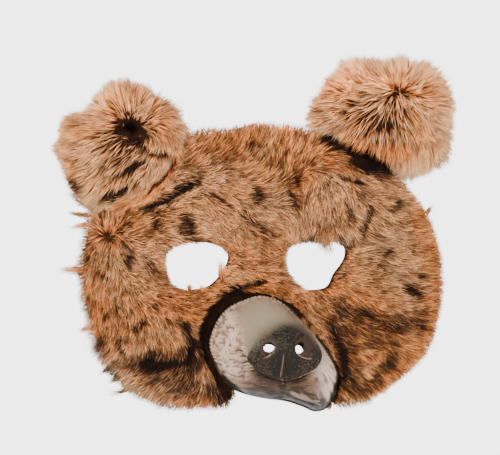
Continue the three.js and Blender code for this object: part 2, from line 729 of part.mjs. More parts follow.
// Locks over the front and rim of an ear, standing away from its middle.
function earLocks(points, centre, thickness, lean, seedStart) {
  return earBands.flatMap((band, bandIndex) => {
    const count = Math.round(band.count * points.length);
    const level = (band.level * Math.PI) / 2;
    const spread = Math.sin(level) ** earRoundness;
    return Array.from({ length: count }, (_, index) => {
      const seed = seedStart + bandIndex * points.length * 2 + index;
      const turn = ((index + earLockShift * scatter(seed)) / count) * points.length;
      const point = points[Math.floor(turn) % points.length];
      const out = new THREE.Vector3(point.x - centre.x, 0, point.y - centre.z).normalize();
      const normal = FORWARD.clone().multiplyScalar(Math.cos(level)).addScaledVector(out, Math.sin(level));
      const stray = new THREE.Vector3(scatter(seed + 0.2) - 0.5, 0, scatter(seed + 0.5) - 0.5);
      const flow = out.clone().multiplyScalar(Math.cos(level) + band.flare)
        .addScaledVector(FORWARD, earLockForward - earLockBackward * Math.sin(level))
        .addScaledVector(stray, earLockStray)
        .normalize();
      const x = centre.x + (point.x - centre.x) * spread;
      const z = centre.z + (point.y - centre.z) * spread;
      const y = centre.y + lean * (x - centre.x) - (thickness / 2) * Math.cos(level);
      return {
        root: new THREE.Vector3(x, y, z),
        flow,
        normal: normal.addScaledVector(flow, -normal.dot(flow)).normalize(),
        length: earLockLength * band.length * within(earLockLengthRange, seed + 0.7),
        width: earLockWidth,
        lift: 0,
      };
    });
  });
}

// The ears stand on the panel's corners, their middles a little behind the fur's surface.
function earCentre(x, z) {
  return new THREE.Vector3(x, furOuter(x, z) + earSink, z);
}

const leftEarCentre = earCentre(leftEarX, leftEarZ);
const rightEarCentre = earCentre(rightEarX, rightEarZ);

// The left ear's top, rolled forward over the hollow.
function foldedTop(grow) {
  const x = leftEarX + earFoldX * leftEarHalfWidth;
  const z = leftEarZ + earFoldZ * leftEarHalfHeight;
  const centre = new THREE.Vector3(x, leftEarCentre.y - leftEarThickness * earFoldForward, z);
  const outline = Array.from({ length: earFoldSides }, (_, side) => {
    const turn = (side / earFoldSides) * 2 * Math.PI;
    return new THREE.Vector2(x + earFoldHalfWidth * Math.cos(turn), z + earFoldHalfHeight * Math.sin(turn));
  });
  return pouch(outline, centre, earFoldThickness, leftEarLean, grow);
}

// The left ear's rim, rolled forward round its lower right: a bent sausage through the rows of leftEarRim.
function rolledRim(grow) {
  const middles = leftEarRim.map((row) => {
    const x = leftEarX + row.x * leftEarHalfWidth;
    const y = leftEarCentre.y + leftEarLean * (x - leftEarX) - leftEarThickness * earRimForward;
    return new THREE.Vector3(x, y, leftEarZ + row.z * leftEarHalfHeight);
  });
  const alongAt = (index) => middles[Math.min(index + 1, middles.length - 1)].clone()
    .sub(middles[Math.max(index - 1, 0)]).normalize();
  const rings = middles.map((middle, index) => {
    const side = new THREE.Vector3().crossVectors(alongAt(index), FORWARD).normalize();
    const radius = leftEarRim[index].radius * earRimRadius + grow;
    return Array.from({ length: earRimSides }, (_, place) => {
      const turn = (place / earRimSides) * 2 * Math.PI;
      return middle.clone().addScaledVector(side, radius * Math.cos(turn))
        .addScaledVector(FORWARD, radius * Math.sin(turn));
    });
  });
  const end = (index, way) => middles[index].clone().addScaledVector(
    alongAt(index), way * (leftEarRim[index].radius * earRimRadius + grow));
  return solidFromRings(end(0, -1), rings, end(middles.length - 1, 1));
}

function leftEarBody(grow) {
  const body = pouch(leftEarPoints, leftEarCentre, leftEarThickness, leftEarLean, grow)
    .add(foldedTop(grow))
    .add(rolledRim(grow));
  const locks = earLocks(leftEarPoints, leftEarCentre, leftEarThickness, leftEarLean, leftEarSeed);
  return joinLocks(body, locks, grow);
}

function rightEarBody(grow) {
  const body = pouch(rightEarPoints, rightEarCentre, rightEarThickness, rightEarLean, grow);
  const locks = earLocks(rightEarPoints, rightEarCentre, rightEarThickness, rightEarLean, rightEarSeed);
  return joinLocks(body, locks, grow);
}

// The dark hollow under the left ear's folded top.
function earHollow() {
  const hollow = new THREE.SphereGeometry(1, hollowSides, hollowBands);
  hollow.scale(earHollowHalfWidth, earHollowDepth, earHollowHalfHeight);
  const x = leftEarX + earHollowX * leftEarHalfWidth;
  const z = leftEarZ + earHollowZ * leftEarHalfHeight;
  hollow.translate(x, leftEarCentre.y - leftEarThickness / 2, z);
  return solidFromGeometry(hollow);
}

// Everything from a little in front of the backing to behind the mask, inside the panel's outline.
function behindBacking() {
  const block = sheetBetween(furInner, () => behind);
  return block.intersect(prism(insetOutline(panelPoints, backingInset - clearance), before, behind));
}

function makeBacking(muzzleTool) {
  const sheet = sheetBetween(backingOuter, backingInner);
  return sheet
    .intersect(prism(insetOutline(panelPoints, backingInset), before, behind))
    .subtract(prism(insetOutline(leftEyePoints, -backingEyeMargin), before, behind))
    .subtract(prism(insetOutline(rightEyePoints, -backingEyeMargin), before, behind))
    .subtract(muzzleTool);
}

function foldTools() {
  return furFolds.map((row) => {
    const start = new THREE.Vector2(row.x * panelHalfWidth, row.z * panelHeight);
    const end = new THREE.Vector2(row.toX * panelHalfWidth, row.toZ * panelHeight);
    const along = end.clone().sub(start).normalize();
    const across = new THREE.Vector2(-along.y, along.x).multiplyScalar(foldWidth / 2);
    const spot = (share, side, depth) => {
      const point = start.clone().lerp(end, share).addScaledVector(across, side);
      return new THREE.Vector3(point.x, furOuter(point.x, point.y) + depth, point.y);
    };
    const rings = foldStations.map((share) => [
      spot(share, -1, -foldToolRise), spot(share, 0, foldDepth), spot(share, 1, -foldToolRise)]);
    return solidFromRings(
      spot(-foldOverrun, 0, -foldToolRise), rings, spot(1 + foldOverrun, 0, -foldToolRise));
  });
}

function makeFur(tools) {
  const sheet = sheetBetween(furOuter, furInner)
    .intersect(prism(panelPoints, before, behind))
    .subtract(prism(leftEyePoints, before, behind))
    .subtract(prism(rightEyePoints, before, behind));
  const locked = joinLocks(sheet, [...panelLocks(), ...edgeLocks(), ...singleTufts()]);
  return [...foldTools(), ...tools].reduce((solid, tool) => solid.subtract(tool), locked);
}

function geometryOf(solid) {
  const { vertProperties, triVerts } = solid.getMesh();
  const geometry = new THREE.BufferGeometry();
  geometry.setAttribute("position", new THREE.BufferAttribute(vertProperties, 3));
  geometry.setIndex(new THREE.BufferAttribute(triVerts, 1));
  return geometry;
}

// The main body of a piece: slivers finer than finestDetail are closed up, and crumbs that a cut left are
// dropped.
function mainBody(solid) {
  const merged = mergeVertices(geometryOf(solid), finestDetail);
  const cleaned = solidFromLists(merged.attributes.position.array, merged.index.array);
  return cleaned.decompose().sort((one, other) => other.volume() - one.volume())[0];
}

function namedMesh(name, solid, look) {
  const geometry = geometryOf(mainBody(solid));
  geometry.computeVertexNormals();
  const mesh = new THREE.Mesh(geometry, new THREE.MeshStandardMaterial(look));
  mesh.name = name;
  return mesh;
}

const furLook = { color: 0xa8703f, roughness: 0.9, metalness: 0 };
const feltLook = { color: 0xe6dccb, roughness: 0.95, metalness: 0 };
const vinylLook = { color: 0x9c8f7c, roughness: 0.5, metalness: 0 };

const muzzleTool = muzzleFilled(clearance);
const behindTool = behindBacking();
const earTools = [leftEarBody(clearance), rightEarBody(clearance)];
const mask = new THREE.Group();
mask.add(
  namedMesh("face_backing", makeBacking(muzzleTool), feltLook),
  namedMesh("face_fur", makeFur([muzzleTool, ...earTools, behindTool]), furLook),
  namedMesh("muzzle", makeMuzzle(), vinylLook),
  namedMesh("ear_left", leftEarBody(0).subtract(earHollow()).subtract(behindTool), furLook),
  namedMesh("ear_right", rightEarBody(0).subtract(behindTool), furLook),
);

export default mask;
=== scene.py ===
"""A plush bear half mask: the long hair, the moulded muzzle, the felt backing and the stuffed ears round
the frame.

All lengths are in metres, in the frame's own axes: the face looks along -Y, +Z is up and +X is to the
right as seen from the front. A place that was read off the photograph is given in its pixels, with (0, 0)
at its top left corner.
"""
import itertools
import logging
import math
from collections.abc import Callable
from dataclasses import dataclass
from enum import Enum

import bmesh
import bpy
import numpy as np
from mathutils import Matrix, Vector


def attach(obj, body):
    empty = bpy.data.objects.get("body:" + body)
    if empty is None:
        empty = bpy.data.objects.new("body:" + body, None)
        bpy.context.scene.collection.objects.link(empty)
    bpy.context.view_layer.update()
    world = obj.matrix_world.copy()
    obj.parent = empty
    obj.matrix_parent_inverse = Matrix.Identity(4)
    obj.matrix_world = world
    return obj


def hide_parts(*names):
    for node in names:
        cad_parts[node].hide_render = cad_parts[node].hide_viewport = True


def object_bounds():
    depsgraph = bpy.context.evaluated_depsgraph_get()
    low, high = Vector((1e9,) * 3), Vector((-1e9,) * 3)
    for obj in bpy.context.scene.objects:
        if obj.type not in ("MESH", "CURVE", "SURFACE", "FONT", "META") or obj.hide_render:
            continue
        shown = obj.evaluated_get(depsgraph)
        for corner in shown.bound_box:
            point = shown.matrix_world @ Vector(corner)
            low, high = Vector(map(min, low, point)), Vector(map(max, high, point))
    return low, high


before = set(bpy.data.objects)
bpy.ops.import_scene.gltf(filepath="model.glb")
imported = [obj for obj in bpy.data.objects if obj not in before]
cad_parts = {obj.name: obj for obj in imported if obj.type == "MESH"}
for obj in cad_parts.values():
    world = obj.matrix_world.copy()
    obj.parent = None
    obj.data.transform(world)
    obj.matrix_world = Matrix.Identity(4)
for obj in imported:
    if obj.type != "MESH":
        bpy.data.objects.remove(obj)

CAD_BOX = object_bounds()
LOG = logging.getLogger("bear_mask")

Array = np.ndarray
Colour = tuple[float, float, float]

MM = 0.001
PIXEL = 0.57 * MM
CENTRE_PX = 257.0
CENTRE_PY = 262.0
PHOTO_WIDTH = 500
PHOTO_HEIGHT = 455
CLEARANCE = 0.3 * MM


def photo_x(px: Array | float) -> Array | float:
    """Turns a column of the photograph into X."""
    return (px - CENTRE_PX) * PIXEL


def photo_z(py: Array | float) -> Array | float:
    """Turns a row of the photograph into Z."""
    return (CENTRE_PY - py) * PIXEL


def photo_place(x: Array, z: Array) -> tuple[Array, Array]:
    """Turns X and Z into columns and rows of the photograph."""
    return CENTRE_PX + x / PIXEL, CENTRE_PY - z / PIXEL


def on_plane(x: Array, z: Array) -> Array:
    """Puts X and Z into rows of three, with Y at 0."""
    return np.stack([x, np.zeros(len(x)), z], axis=1)


def smoothstep(value: Array, low: float, high: float) -> Array:
    """Eases from 0 at low to 1 at high: 3t^2 - 2t^3 of the share t."""
    share = np.clip((value - low) / (high - low), 0.0, 1.0)
    return share * share * (3.0 - 2.0 * share)


def unit(vectors: Array) -> Array:
    """Scales each row to length 1."""
    return vectors / np.maximum(np.linalg.norm(vectors, axis=-1, keepdims=True), 1e-12)


def lattice_noise(places: Array, cell: float, seed: int) -> Array:
    """Soft noise from -1 to 1 at each place.

    A number is hashed for each corner of a cubic lattice, and the eight round a place are blended by
    smoothstep weights.

    Args:
        places: Points, one a row, in metres.
        cell: Size of a lattice cell in metres.
        seed: Chooses the numbers.

    Returns:
        One number for each place.
    """
    scaled = places / cell
    base = np.floor(scaled).astype(np.int64)
    part = scaled - base
    part = part * part * (3.0 - 2.0 * part)
    total = np.zeros(len(places))
    for corner in itertools.product((0, 1), repeat=3):
        node = base + np.array(corner)
        mixed = node[:, 0] * 73856093 ^ node[:, 1] * 19349663 ^ node[:, 2] * 83492791 ^ seed * 2654435761
        mixed = (mixed ^ (mixed >> 13)) * 1274126177 & 0xFFFFFFFF
        value = ((mixed ^ (mixed >> 16)) & 0xFFFF) / 32767.5 - 1.0
        total += value * np.prod(np.where(corner, part, 1.0 - part), axis=1)
    return total


def layered_noise(places: Array, cell: float, seed: int, layers: int = 3) -> Array:
    """Sums lattice noise at halved cells and halved heights, scaled back to about -1 to 1."""
    total = sum(lattice_noise(places, cell / 2**layer, seed + layer) / 2**layer for layer in range(layers))
    return total / 1.5


@dataclass(frozen=True)
class Outline:
    """A smooth closed line in X and Z, a Catmull-Rom curve through a few rows.

    Args:
        rows: Points as shares of the two sizes.
        size: Lengths that the shares are of, along X and Z.
        centre: Place of the share (0, 0).
        count: Points that the line is worked out at.
    """

    rows: tuple[tuple[float, ...], ...]
    size: tuple[float, float]
    centre: tuple[float, float] = (0.0, 0.0)
    count: int = 160

    def at(self, turn: Array) -> Array:
        """Blends every column of the rows at each turn from 0 to 1, by Catmull-Rom weights.

        Args:
            turn: Turns from 0 to 1.

        Returns:
            The blended rows, one for each turn.
        """
        table = np.array(self.rows)
        place = np.asarray(turn) * len(table)
        first = np.floor(place).astype(int)
        f = (place - first)[..., None]
        a, b, c, d = (table[(first + step) % len(table)] for step in (-1, 0, 1, 2))
        return 0.5 * (2 * b + (c - a) * f + (2 * a - 5 * b + 4 * c - d) * f**2
                      + (3 * b - a - 3 * c + d) * f**3)

    def points(self) -> Array:
        """Places along the line, one a row."""
        shares = self.at(np.arange(self.count) / self.count)[:, :2]
        return shares * np.array(self.size) + np.array(self.centre)

    def depth(self, x: Array, z: Array) -> Array:
        """Distance of each place from the line: positive inside it, negative outside.

        The nearest of the line's short straight steps gives the distance, and the count of steps that a
        ray along X crosses gives the side.

        Args:
            x: Places along X.
            z: Places along Z.

        Returns:
            One distance for each place.
        """
        start = self.points()
        span = np.roll(start, -1, axis=0) - start
        result = np.empty(len(x))
        for block in np.array_split(np.arange(len(x)), max(1, len(x) // 20000)):
            dx = x[block, None] - start[:, 0]
            dz = z[block, None] - start[:, 1]
            share = np.clip((dx * span[:, 0] + dz * span[:, 1]) / (span**2).sum(axis=1), 0.0, 1.0)
            near = np.hypot(dx - share * span[:, 0], dz - share * span[:, 1]).min(axis=1)
            crosses = (dz < 0) != (dz - span[:, 1] < 0)
            safe = np.where(span[:, 1] == 0, 1e-12, span[:, 1])
            right = dx < dz * span[:, 0] / safe
            result[block] = near * np.where((crosses & right).sum(axis=1) % 2 == 1, 1.0, -1.0)
        return result


def photo_outline(*places: tuple[float, float]) -> Outline:
    """Makes a smooth closed line through places given in the photograph's pixels."""
    centre = (photo_x(0.0), photo_z(0.0))
    return Outline(rows=places, size=(PIXEL, -PIXEL), centre=centre, count=4 * len(places))


PANEL_HALF_WIDTH = 105 * MM
PANEL_HEIGHT = 162 * MM
NEAT_FROM = 62 * MM
NEAT_TO = 76 * MM
PANEL = Outline(
    rows=(
        (-0.36, 0.45), (-0.16, 0.46), (-0.01, 0.47), (0.18, 0.47), (0.30, 0.45), (0.50, 0.43),
        (0.69, 0.36), (0.83, 0.26), (0.93, 0.17), (0.99, 0.06), (1.02, -0.06), (1.02, -0.13),
        (1.00, -0.20), (0.93, -0.32), (0.80, -0.41), (0.66, -0.47), (0.50, -0.50), (0.43, -0.51),
        (0.36, -0.48), (0.28, -0.36), (0.12, -0.30), (-0.02, -0.33), (-0.10, -0.43), (-0.14, -0.49),
        (-0.20, -0.51), (-0.31, -0.51), (-0.45, -0.51), (-0.58, -0.49), (-0.70, -0.45), (-0.80, -0.39),
        (-0.88, -0.31), (-0.94, -0.20), (-0.97, -0.10), (-0.97, 0.00), (-0.95, 0.09), (-0.92, 0.17),
        (-0.90, 0.25), (-0.80, 0.34), (-0.61, 0.40),
    ),
    size=(PANEL_HALF_WIDTH, PANEL_HEIGHT),
    count=240,
)
EYE_SIZE = (17 * MM, 13 * MM)
LEFT_EYE = Outline(
    rows=(
        (-0.99, 0.20), (-0.82, 0.73), (-0.42, 0.95), (0.08, 0.99), (0.65, 0.90), (1.02, 0.51),
        (0.89, -0.06), (0.58, -0.59), (0.25, -0.85), (-0.46, -0.98), (-0.82, -0.68),
    ),
    size=EYE_SIZE,
    centre=(-35 * MM, -2.6 * MM),
    count=60,
)
RIGHT_EYE = Outline(
    rows=(
        (-0.97, 0.26), (-0.82, 0.80), (-0.40, 1.00), (0.20, 1.00), (0.77, 1.00), (0.96, 0.66), (0.86, 0.20),
        (0.57, -0.31), (0.37, -0.84), (0.00, -0.97), (-0.40, -0.93), (-0.80, -0.45),
    ),
    size=EYE_SIZE,
    centre=(33 * MM, -2.2 * MM),
    count=60,
)
NOSE_X = 15.5 * MM
NOSE_Z = -50 * MM
MUZZLE_SIZE = (74 * MM, 66 * MM)
MUZZLE_REACH = 46 * MM
MUZZLE_RIM = Outline(
    rows=(
        (-0.19, 0.47, 0.00, 1.6), (-0.03, 0.42, 0.00, 1.7), (0.12, 0.26, 0.00, 2.2),
        (0.25, 0.10, 0.00, 2.8), (0.38, -0.12, 0.00, 3.0), (0.41, -0.28, 0.04, 3.2),
        (0.35, -0.47, 0.20, 3.4), (0.25, -0.52, 0.34, 3.6), (0.14, -0.47, 0.42, 3.6),
        (0.01, -0.42, 0.46, 3.6), (-0.19, -0.39, 0.40, 3.4), (-0.36, -0.34, 0.24, 3.2),
        (-0.47, -0.24, 0.06, 3.0), (-0.55, -0.07, 0.00, 2.8), (-0.58, 0.06, 0.00, 2.6),
        (-0.53, 0.23, 0.00, 2.3), (-0.45, 0.35, 0.00, 2.0), (-0.34, 0.42, 0.00, 1.7),
    ),
    size=MUZZLE_SIZE,
    centre=(NOSE_X, NOSE_Z),
    count=120,
)


@dataclass(frozen=True)
class FaceForm:
    """The face panel's swept and swelling form, which backing, fur and muzzle share.

    Args:
        side_sweep: How far the sides lie behind the nose bridge.
        sweep_power: How late the sweep sets in.
        brow_sweep: How far the top edge lies back.
        jowl_sweep: How far the lower edge lies back.
        swell_height: Height of the largest swell.
        swells: Rows of x, z, reach and height, as shares of the half width, the height, the half width
            and the swell height.
    """

    side_sweep: float = 44 * MM
    sweep_power: float = 2.3
    brow_sweep: float = 12 * MM
    jowl_sweep: float = 13 * MM
    swell_height: float = 9 * MM
    swells: tuple[tuple[float, float, float, float], ...] = (
        (-0.62, -0.27, 0.38, 1.0), (0.74, -0.25, 0.36, 0.9), (-0.74, 0.08, 0.26, 0.5),
        (0.66, 0.16, 0.28, 0.6), (-0.08, 0.34, 0.32, 0.5), (0.02, -0.02, 0.16, 0.4),
    )

    def _bare(self, x: Array, z: Array) -> Array:
        """Y of the inner side: powers of the shares across, up and down, less a Gaussian for each swell.

        Args:
            x: Places along X.
            z: Places along Z.

        Returns:
            One Y for each place.
        """
        across = np.abs(x) / PANEL_HALF_WIDTH
        up = np.maximum(z, 0) / (PANEL_HEIGHT / 2)
        down = np.maximum(-z, 0) / (PANEL_HEIGHT / 2)
        y = self.side_sweep * across**self.sweep_power + self.brow_sweep * up**2 + self.jowl_sweep * down**2
        for row_x, row_z, reach, height in self.swells:
            gone = ((x - row_x * PANEL_HALF_WIDTH) ** 2 + (z - row_z * PANEL_HEIGHT) ** 2)
            y = y - height * self.swell_height * np.exp(-gone / (reach * PANEL_HALF_WIDTH) ** 2)
        return y

    def slopes(self, x: Array, z: Array) -> tuple[Array, Array]:
        """Rise of Y along X and along Z, by central differences.

        Args:
            x: Places along X.
            z: Places along Z.

        Returns:
            The two slopes of each place.
        """
        step = 1 * MM
        along_x = (self._bare(x + step, z) - self._bare(x - step, z)) / (2 * step)
        along_z = (self._bare(x, z + step) - self._bare(x, z - step)) / (2 * step)
        return along_x, along_z

    def front(self, x: Array, z: Array, distance: Array | float) -> Array:
        """Y of the surface a distance in front of the backing's inner side, measured square to it.

        Args:
            x: Places along X.
            z: Places along Z.
            distance: Distance in front of the inner side.

        Returns:
            One Y for each place.
        """
        along_x, along_z = self.slopes(x, z)
        origin = self._bare(np.zeros(1), np.zeros(1))[0]
        return self._bare(x, z) - origin - distance * np.sqrt(1 + along_x**2 + along_z**2)

    def normal(self, x: Array, z: Array) -> Array:
        """Outward normals, which lean towards -Y."""
        along_x, along_z = self.slopes(x, z)
        return unit(np.stack([along_x, -np.ones_like(along_x), along_z], axis=1))


FACE = FaceForm()


def panel_depth(x: Array, z: Array, eye_roll: float = 0.0) -> Array:
    """Distance inside the panel's cloth: negative past its edge, in the eyes and in the muzzle.

    Args:
        x: Places along X.
        z: Places along Z.
        eye_roll: How far the cloth stays back from the eye openings.

    Returns:
        The least of the distances to the four edges.
    """
    return np.minimum.reduce([
        PANEL.depth(x, z),
        -LEFT_EYE.depth(x, z) - eye_roll,
        -RIGHT_EYE.depth(x, z) - eye_roll,
        -MUZZLE_RIM.depth(x, z) - CLEARANCE,
    ])


def make_object(name: str, places: Array, faces: list | Array, smooth: bool = True) -> bpy.types.Object:
    """Puts arrays into a new mesh object at the origin.

    Args:
        name: Name of the piece.
        places: Vertices, one a row.
        faces: Corners of each face, as an array of equal rows or a list of arrays of equal rows.
        smooth: Whether the faces are shaded smoothly.

    Returns:
        The new object.
    """
    blocks = [faces] if isinstance(faces, np.ndarray) else faces
    sizes = np.concatenate([np.full(len(block), block.shape[1]) for block in blocks])
    corners = np.concatenate([block.ravel() for block in blocks])
    mesh = bpy.data.meshes.new(name)
    mesh.vertices.add(len(places))
    mesh.vertices.foreach_set("co", np.asarray(places, dtype=np.float32).ravel())
    mesh.loops.add(len(corners))
    mesh.loops.foreach_set("vertex_index", corners.astype(np.int32))
    mesh.polygons.add(len(sizes))
    mesh.polygons.foreach_set("loop_start", np.concatenate([[0], np.cumsum(sizes)[:-1]]).astype(np.int32))
    mesh.update(calc_edges=True)
    mesh.polygons.foreach_set("use_smooth", np.full(len(sizes), smooth))
    mesh.validate()
    piece = bpy.data.objects.new(name, mesh)
    bpy.context.scene.collection.objects.link(piece)
    return piece


def paint(piece: bpy.types.Object, name: str, values: Array) -> None:
    """Keeps four numbers for each vertex as a colour attribute that materials read by its name."""
    layer = piece.data.color_attributes.new(name=name, type="FLOAT_COLOR", domain="POINT")
    layer.data.foreach_set("color", np.clip(values, 0.0, 1.0).astype(np.float32).ravel())


def ring_faces(rings: int, sides: int) -> Array:
    """Quads between neighbouring rings of a closed tube, as rows of four vertex numbers.

    Args:
        rings: Number of rings.
        sides: Vertices of each ring.

    Returns:
        Rows of four vertex numbers.
    """
    ring, side = np.meshgrid(np.arange(rings - 1), np.arange(sides), indexing="ij")
    near, far = ring * sides, (ring + 1) * sides
    following = (side + 1) % sides
    return np.stack([near + side, near + following, far + following, far + side], axis=-1).reshape(-1, 4)


def border_of(quads: Array) -> Array:
    """Edges that only one of the quads has, as rows of two vertex numbers in the quads' own order.

    Args:
        quads: Four vertex numbers a row.

    Returns:
        Rows of two vertex numbers.
    """
    edges = np.concatenate([quads[:, [a, (a + 1) % 4]] for a in range(4)])
    keys = np.sort(edges, axis=1)
    _, first, times = np.unique(keys, axis=0, return_index=True, return_counts=True)
    return edges[first[times == 1]]


def pole_fans(sides: int, last: int, near_pole: int, far_pole: int) -> Array:
    """Builds the triangles that close both ends of a tube.

    Args:
        sides: Vertices of each ring.
        last: Number of the last ring's first vertex.
        near_pole: Number of the vertex beyond the first ring.
        far_pole: Number of the vertex beyond the last ring.

    Returns:
        Rows of three vertex numbers.
    """
    side = np.arange(sides)
    following = (side + 1) % sides
    return np.concatenate([
        np.stack([np.full(sides, near_pole), following, side], axis=1),
        np.stack([np.full(sides, far_pole), last + side, last + following], axis=1),
    ])


class Bench:
    """A node tree with short ways to add to it."""

    def __init__(self, tree: bpy.types.NodeTree) -> None:
        """Keeps the tree that nodes go into."""
        self.tree = tree

    def add(self, kind: str, **settings: object) -> bpy.types.Node:
        """Adds a node, and sets its properties, or its inputs where the name starts with in_.

        Args:
            kind: The node's type.
            settings: Properties and inputs, by their names.

        Returns:
            The node.
        """
        node = self.tree.nodes.new(kind)
        for key, value in settings.items():
            if key.startswith("in_"):
                node.inputs[key[3:].replace("_", " ")].default_value = value
            else:
                setattr(node, key, value)
        return node

    def join(self, source: bpy.types.NodeSocket, target: bpy.types.NodeSocket) -> None:
        """Links an output to an input."""
        self.tree.links.new(source, target)

    def maths(self, operation: str, first: object, second: object,
              clamp: bool = False) -> bpy.types.NodeSocket:
        """Adds a Math node on two sockets or numbers.

        Args:
            operation: The operation's name.
            first: The first socket, number or colour.
            second: The second one.
            clamp: Whether the result stays between 0 and 1.

        Returns:
            The node's output.
        """
        node = self.add("ShaderNodeMath", operation=operation, use_clamp=clamp)
        for socket, value in zip(node.inputs, (first, second)):
            if isinstance(value, bpy.types.NodeSocket):
                self.join(value, socket)
            else:
                socket.default_value = value
        return node.outputs[0]

    def mix(self, share: bpy.types.NodeSocket, first: object, second: object) -> bpy.types.NodeSocket:
        """Adds a colour Mix node between two sockets or colours.

        Args:
            share: Share of the second one.
            first: The first socket, number or colour.
            second: The second one.

        Returns:
            The mixed colour.
        """
        node = self.add("ShaderNodeMix", data_type="RGBA")
        self.join(share, node.inputs["Factor"])
        for name, value in (("A", first), ("B", second)):
            socket = next(s for s in node.inputs if s.name == name and s.type == "RGBA")
            if isinstance(value, bpy.types.NodeSocket):
                self.join(value, socket)
            else:
                socket.default_value = (*value, 1.0)
        return next(s for s in node.outputs if s.type == "RGBA")

    def ramp(self, value: bpy.types.NodeSocket,
             stops: tuple[tuple[float, Colour], ...]) -> bpy.types.NodeSocket:
        """Adds a colour ramp with the given stops.

        Args:
            value: Socket with the value.
            stops: Places from 0 to 1, each with its colour.

        Returns:
            The ramp's colour.
        """
        node = self.add("ShaderNodeValToRGB")
        band = node.color_ramp.elements
        while len(band) < len(stops):
            band.new(1.0)
        for element, (place, colour) in zip(band, stops):
            element.position = place
            element.color = (*colour, 1.0)
        self.join(value, node.inputs["Fac"])
        return node.outputs["Color"]

    def spread(self, value: bpy.types.NodeSocket, low: float, high: float) -> bpy.types.NodeSocket:
        """Maps 0 to 1 onto low to high.

        Args:
            value: Socket with the value.
            low: Result at 0.
            high: Result at 1.

        Returns:
            The mapped value.
        """
        node = self.add("ShaderNodeMapRange")
        node.inputs["To Min"].default_value = low
        node.inputs["To Max"].default_value = high
        self.join(value, node.inputs["Value"])
        return node.outputs["Result"]


def mottle_group() -> bpy.types.NodeTree:
    """Builds the group that mottles a surface: layered noise on Object coordinates, from 0 to 1.

    Returns:
        The group.
    """
    tree = bpy.data.node_groups.new("mottle", "ShaderNodeTree")
    tree.interface.new_socket("Scale", in_out="INPUT", socket_type="NodeSocketFloat")
    tree.interface.new_socket("Detail", in_out="INPUT", socket_type="NodeSocketFloat")
    tree.interface.new_socket("Value", in_out="OUTPUT", socket_type="NodeSocketFloat")
    bench = Bench(tree)
    inputs = bench.add("NodeGroupInput")
    output = bench.add("NodeGroupOutput")
    place = bench.add("ShaderNodeTexCoord")
    noise = bench.add("ShaderNodeTexNoise", in_Roughness=0.6)
    bench.join(place.outputs["Object"], noise.inputs["Vector"])
    bench.join(inputs.outputs["Scale"], noise.inputs["Scale"])
    bench.join(inputs.outputs["Detail"], noise.inputs["Detail"])
    sharp = bench.maths("MULTIPLY_ADD", noise.outputs["Fac"], 2.0)
    sharp.node.inputs[2].default_value = -0.5
    sharp.node.use_clamp = True
    bench.join(sharp, output.inputs["Value"])
    return tree


@dataclass(frozen=True)
class Finish:
    """What every finish shares: a name and a principled surface with plain values.

    Args:
        name: Name of the material.
        roughness: Roughness of the surface where nothing varies it.
        specular: Specular level.
        sheen: Weight of the soft edge glow of fibres.
    """

    name: str
    roughness: float = 0.6
    specular: float = 0.3
    sheen: float = 0.0

    def start(self) -> tuple[bpy.types.Material, Bench, bpy.types.Node]:
        """Makes the material with its Principled BSDF, and returns them with the tree's bench.

        Returns:
            The material, its bench and the shader's node.
        """
        material = bpy.data.materials.new(self.name)
        material.use_nodes = True
        bench = Bench(material.node_tree)
        shader = next(n for n in material.node_tree.nodes if n.type == "BSDF_PRINCIPLED")
        shader.inputs["Roughness"].default_value = self.roughness
        shader.inputs["Specular IOR Level"].default_value = self.specular
        shader.inputs["Sheen Weight"].default_value = self.sheen
        return material, bench, shader

    def mottle(self, bench: Bench, scale: float, detail: float = 3.0) -> bpy.types.NodeSocket:
        """Places the mottle group in this material with its own values.

        Args:
            bench: The material's node tree.
            scale: The group's scale.
            detail: The group's detail.

        Returns:
            The group's output.
        """
        group = bpy.data.node_groups.get("mottle") or mottle_group()
        node = bench.add("ShaderNodeGroup", node_tree=group)
        node.inputs["Scale"].default_value = scale
        node.inputs["Detail"].default_value = detail
        return node.outputs["Value"]

    def bump(self, bench: Bench, shader: bpy.types.Node, height: bpy.types.NodeSocket,
             distance: float, strength: float) -> None:
        """Feeds a height to the shader's normal.

        Args:
            bench: The material's node tree.
            shader: The shader's node.
            height: Socket with the height.
            distance: The height's full size in metres.
            strength: Strength of the effect.
        """
        node = bench.add("ShaderNodeBump")
        node.inputs["Distance"].default_value = distance
        node.inputs["Strength"].default_value = strength
        bench.join(height, node.inputs["Height"])
        bench.join(node.outputs["Normal"], shader.inputs["Normal"])


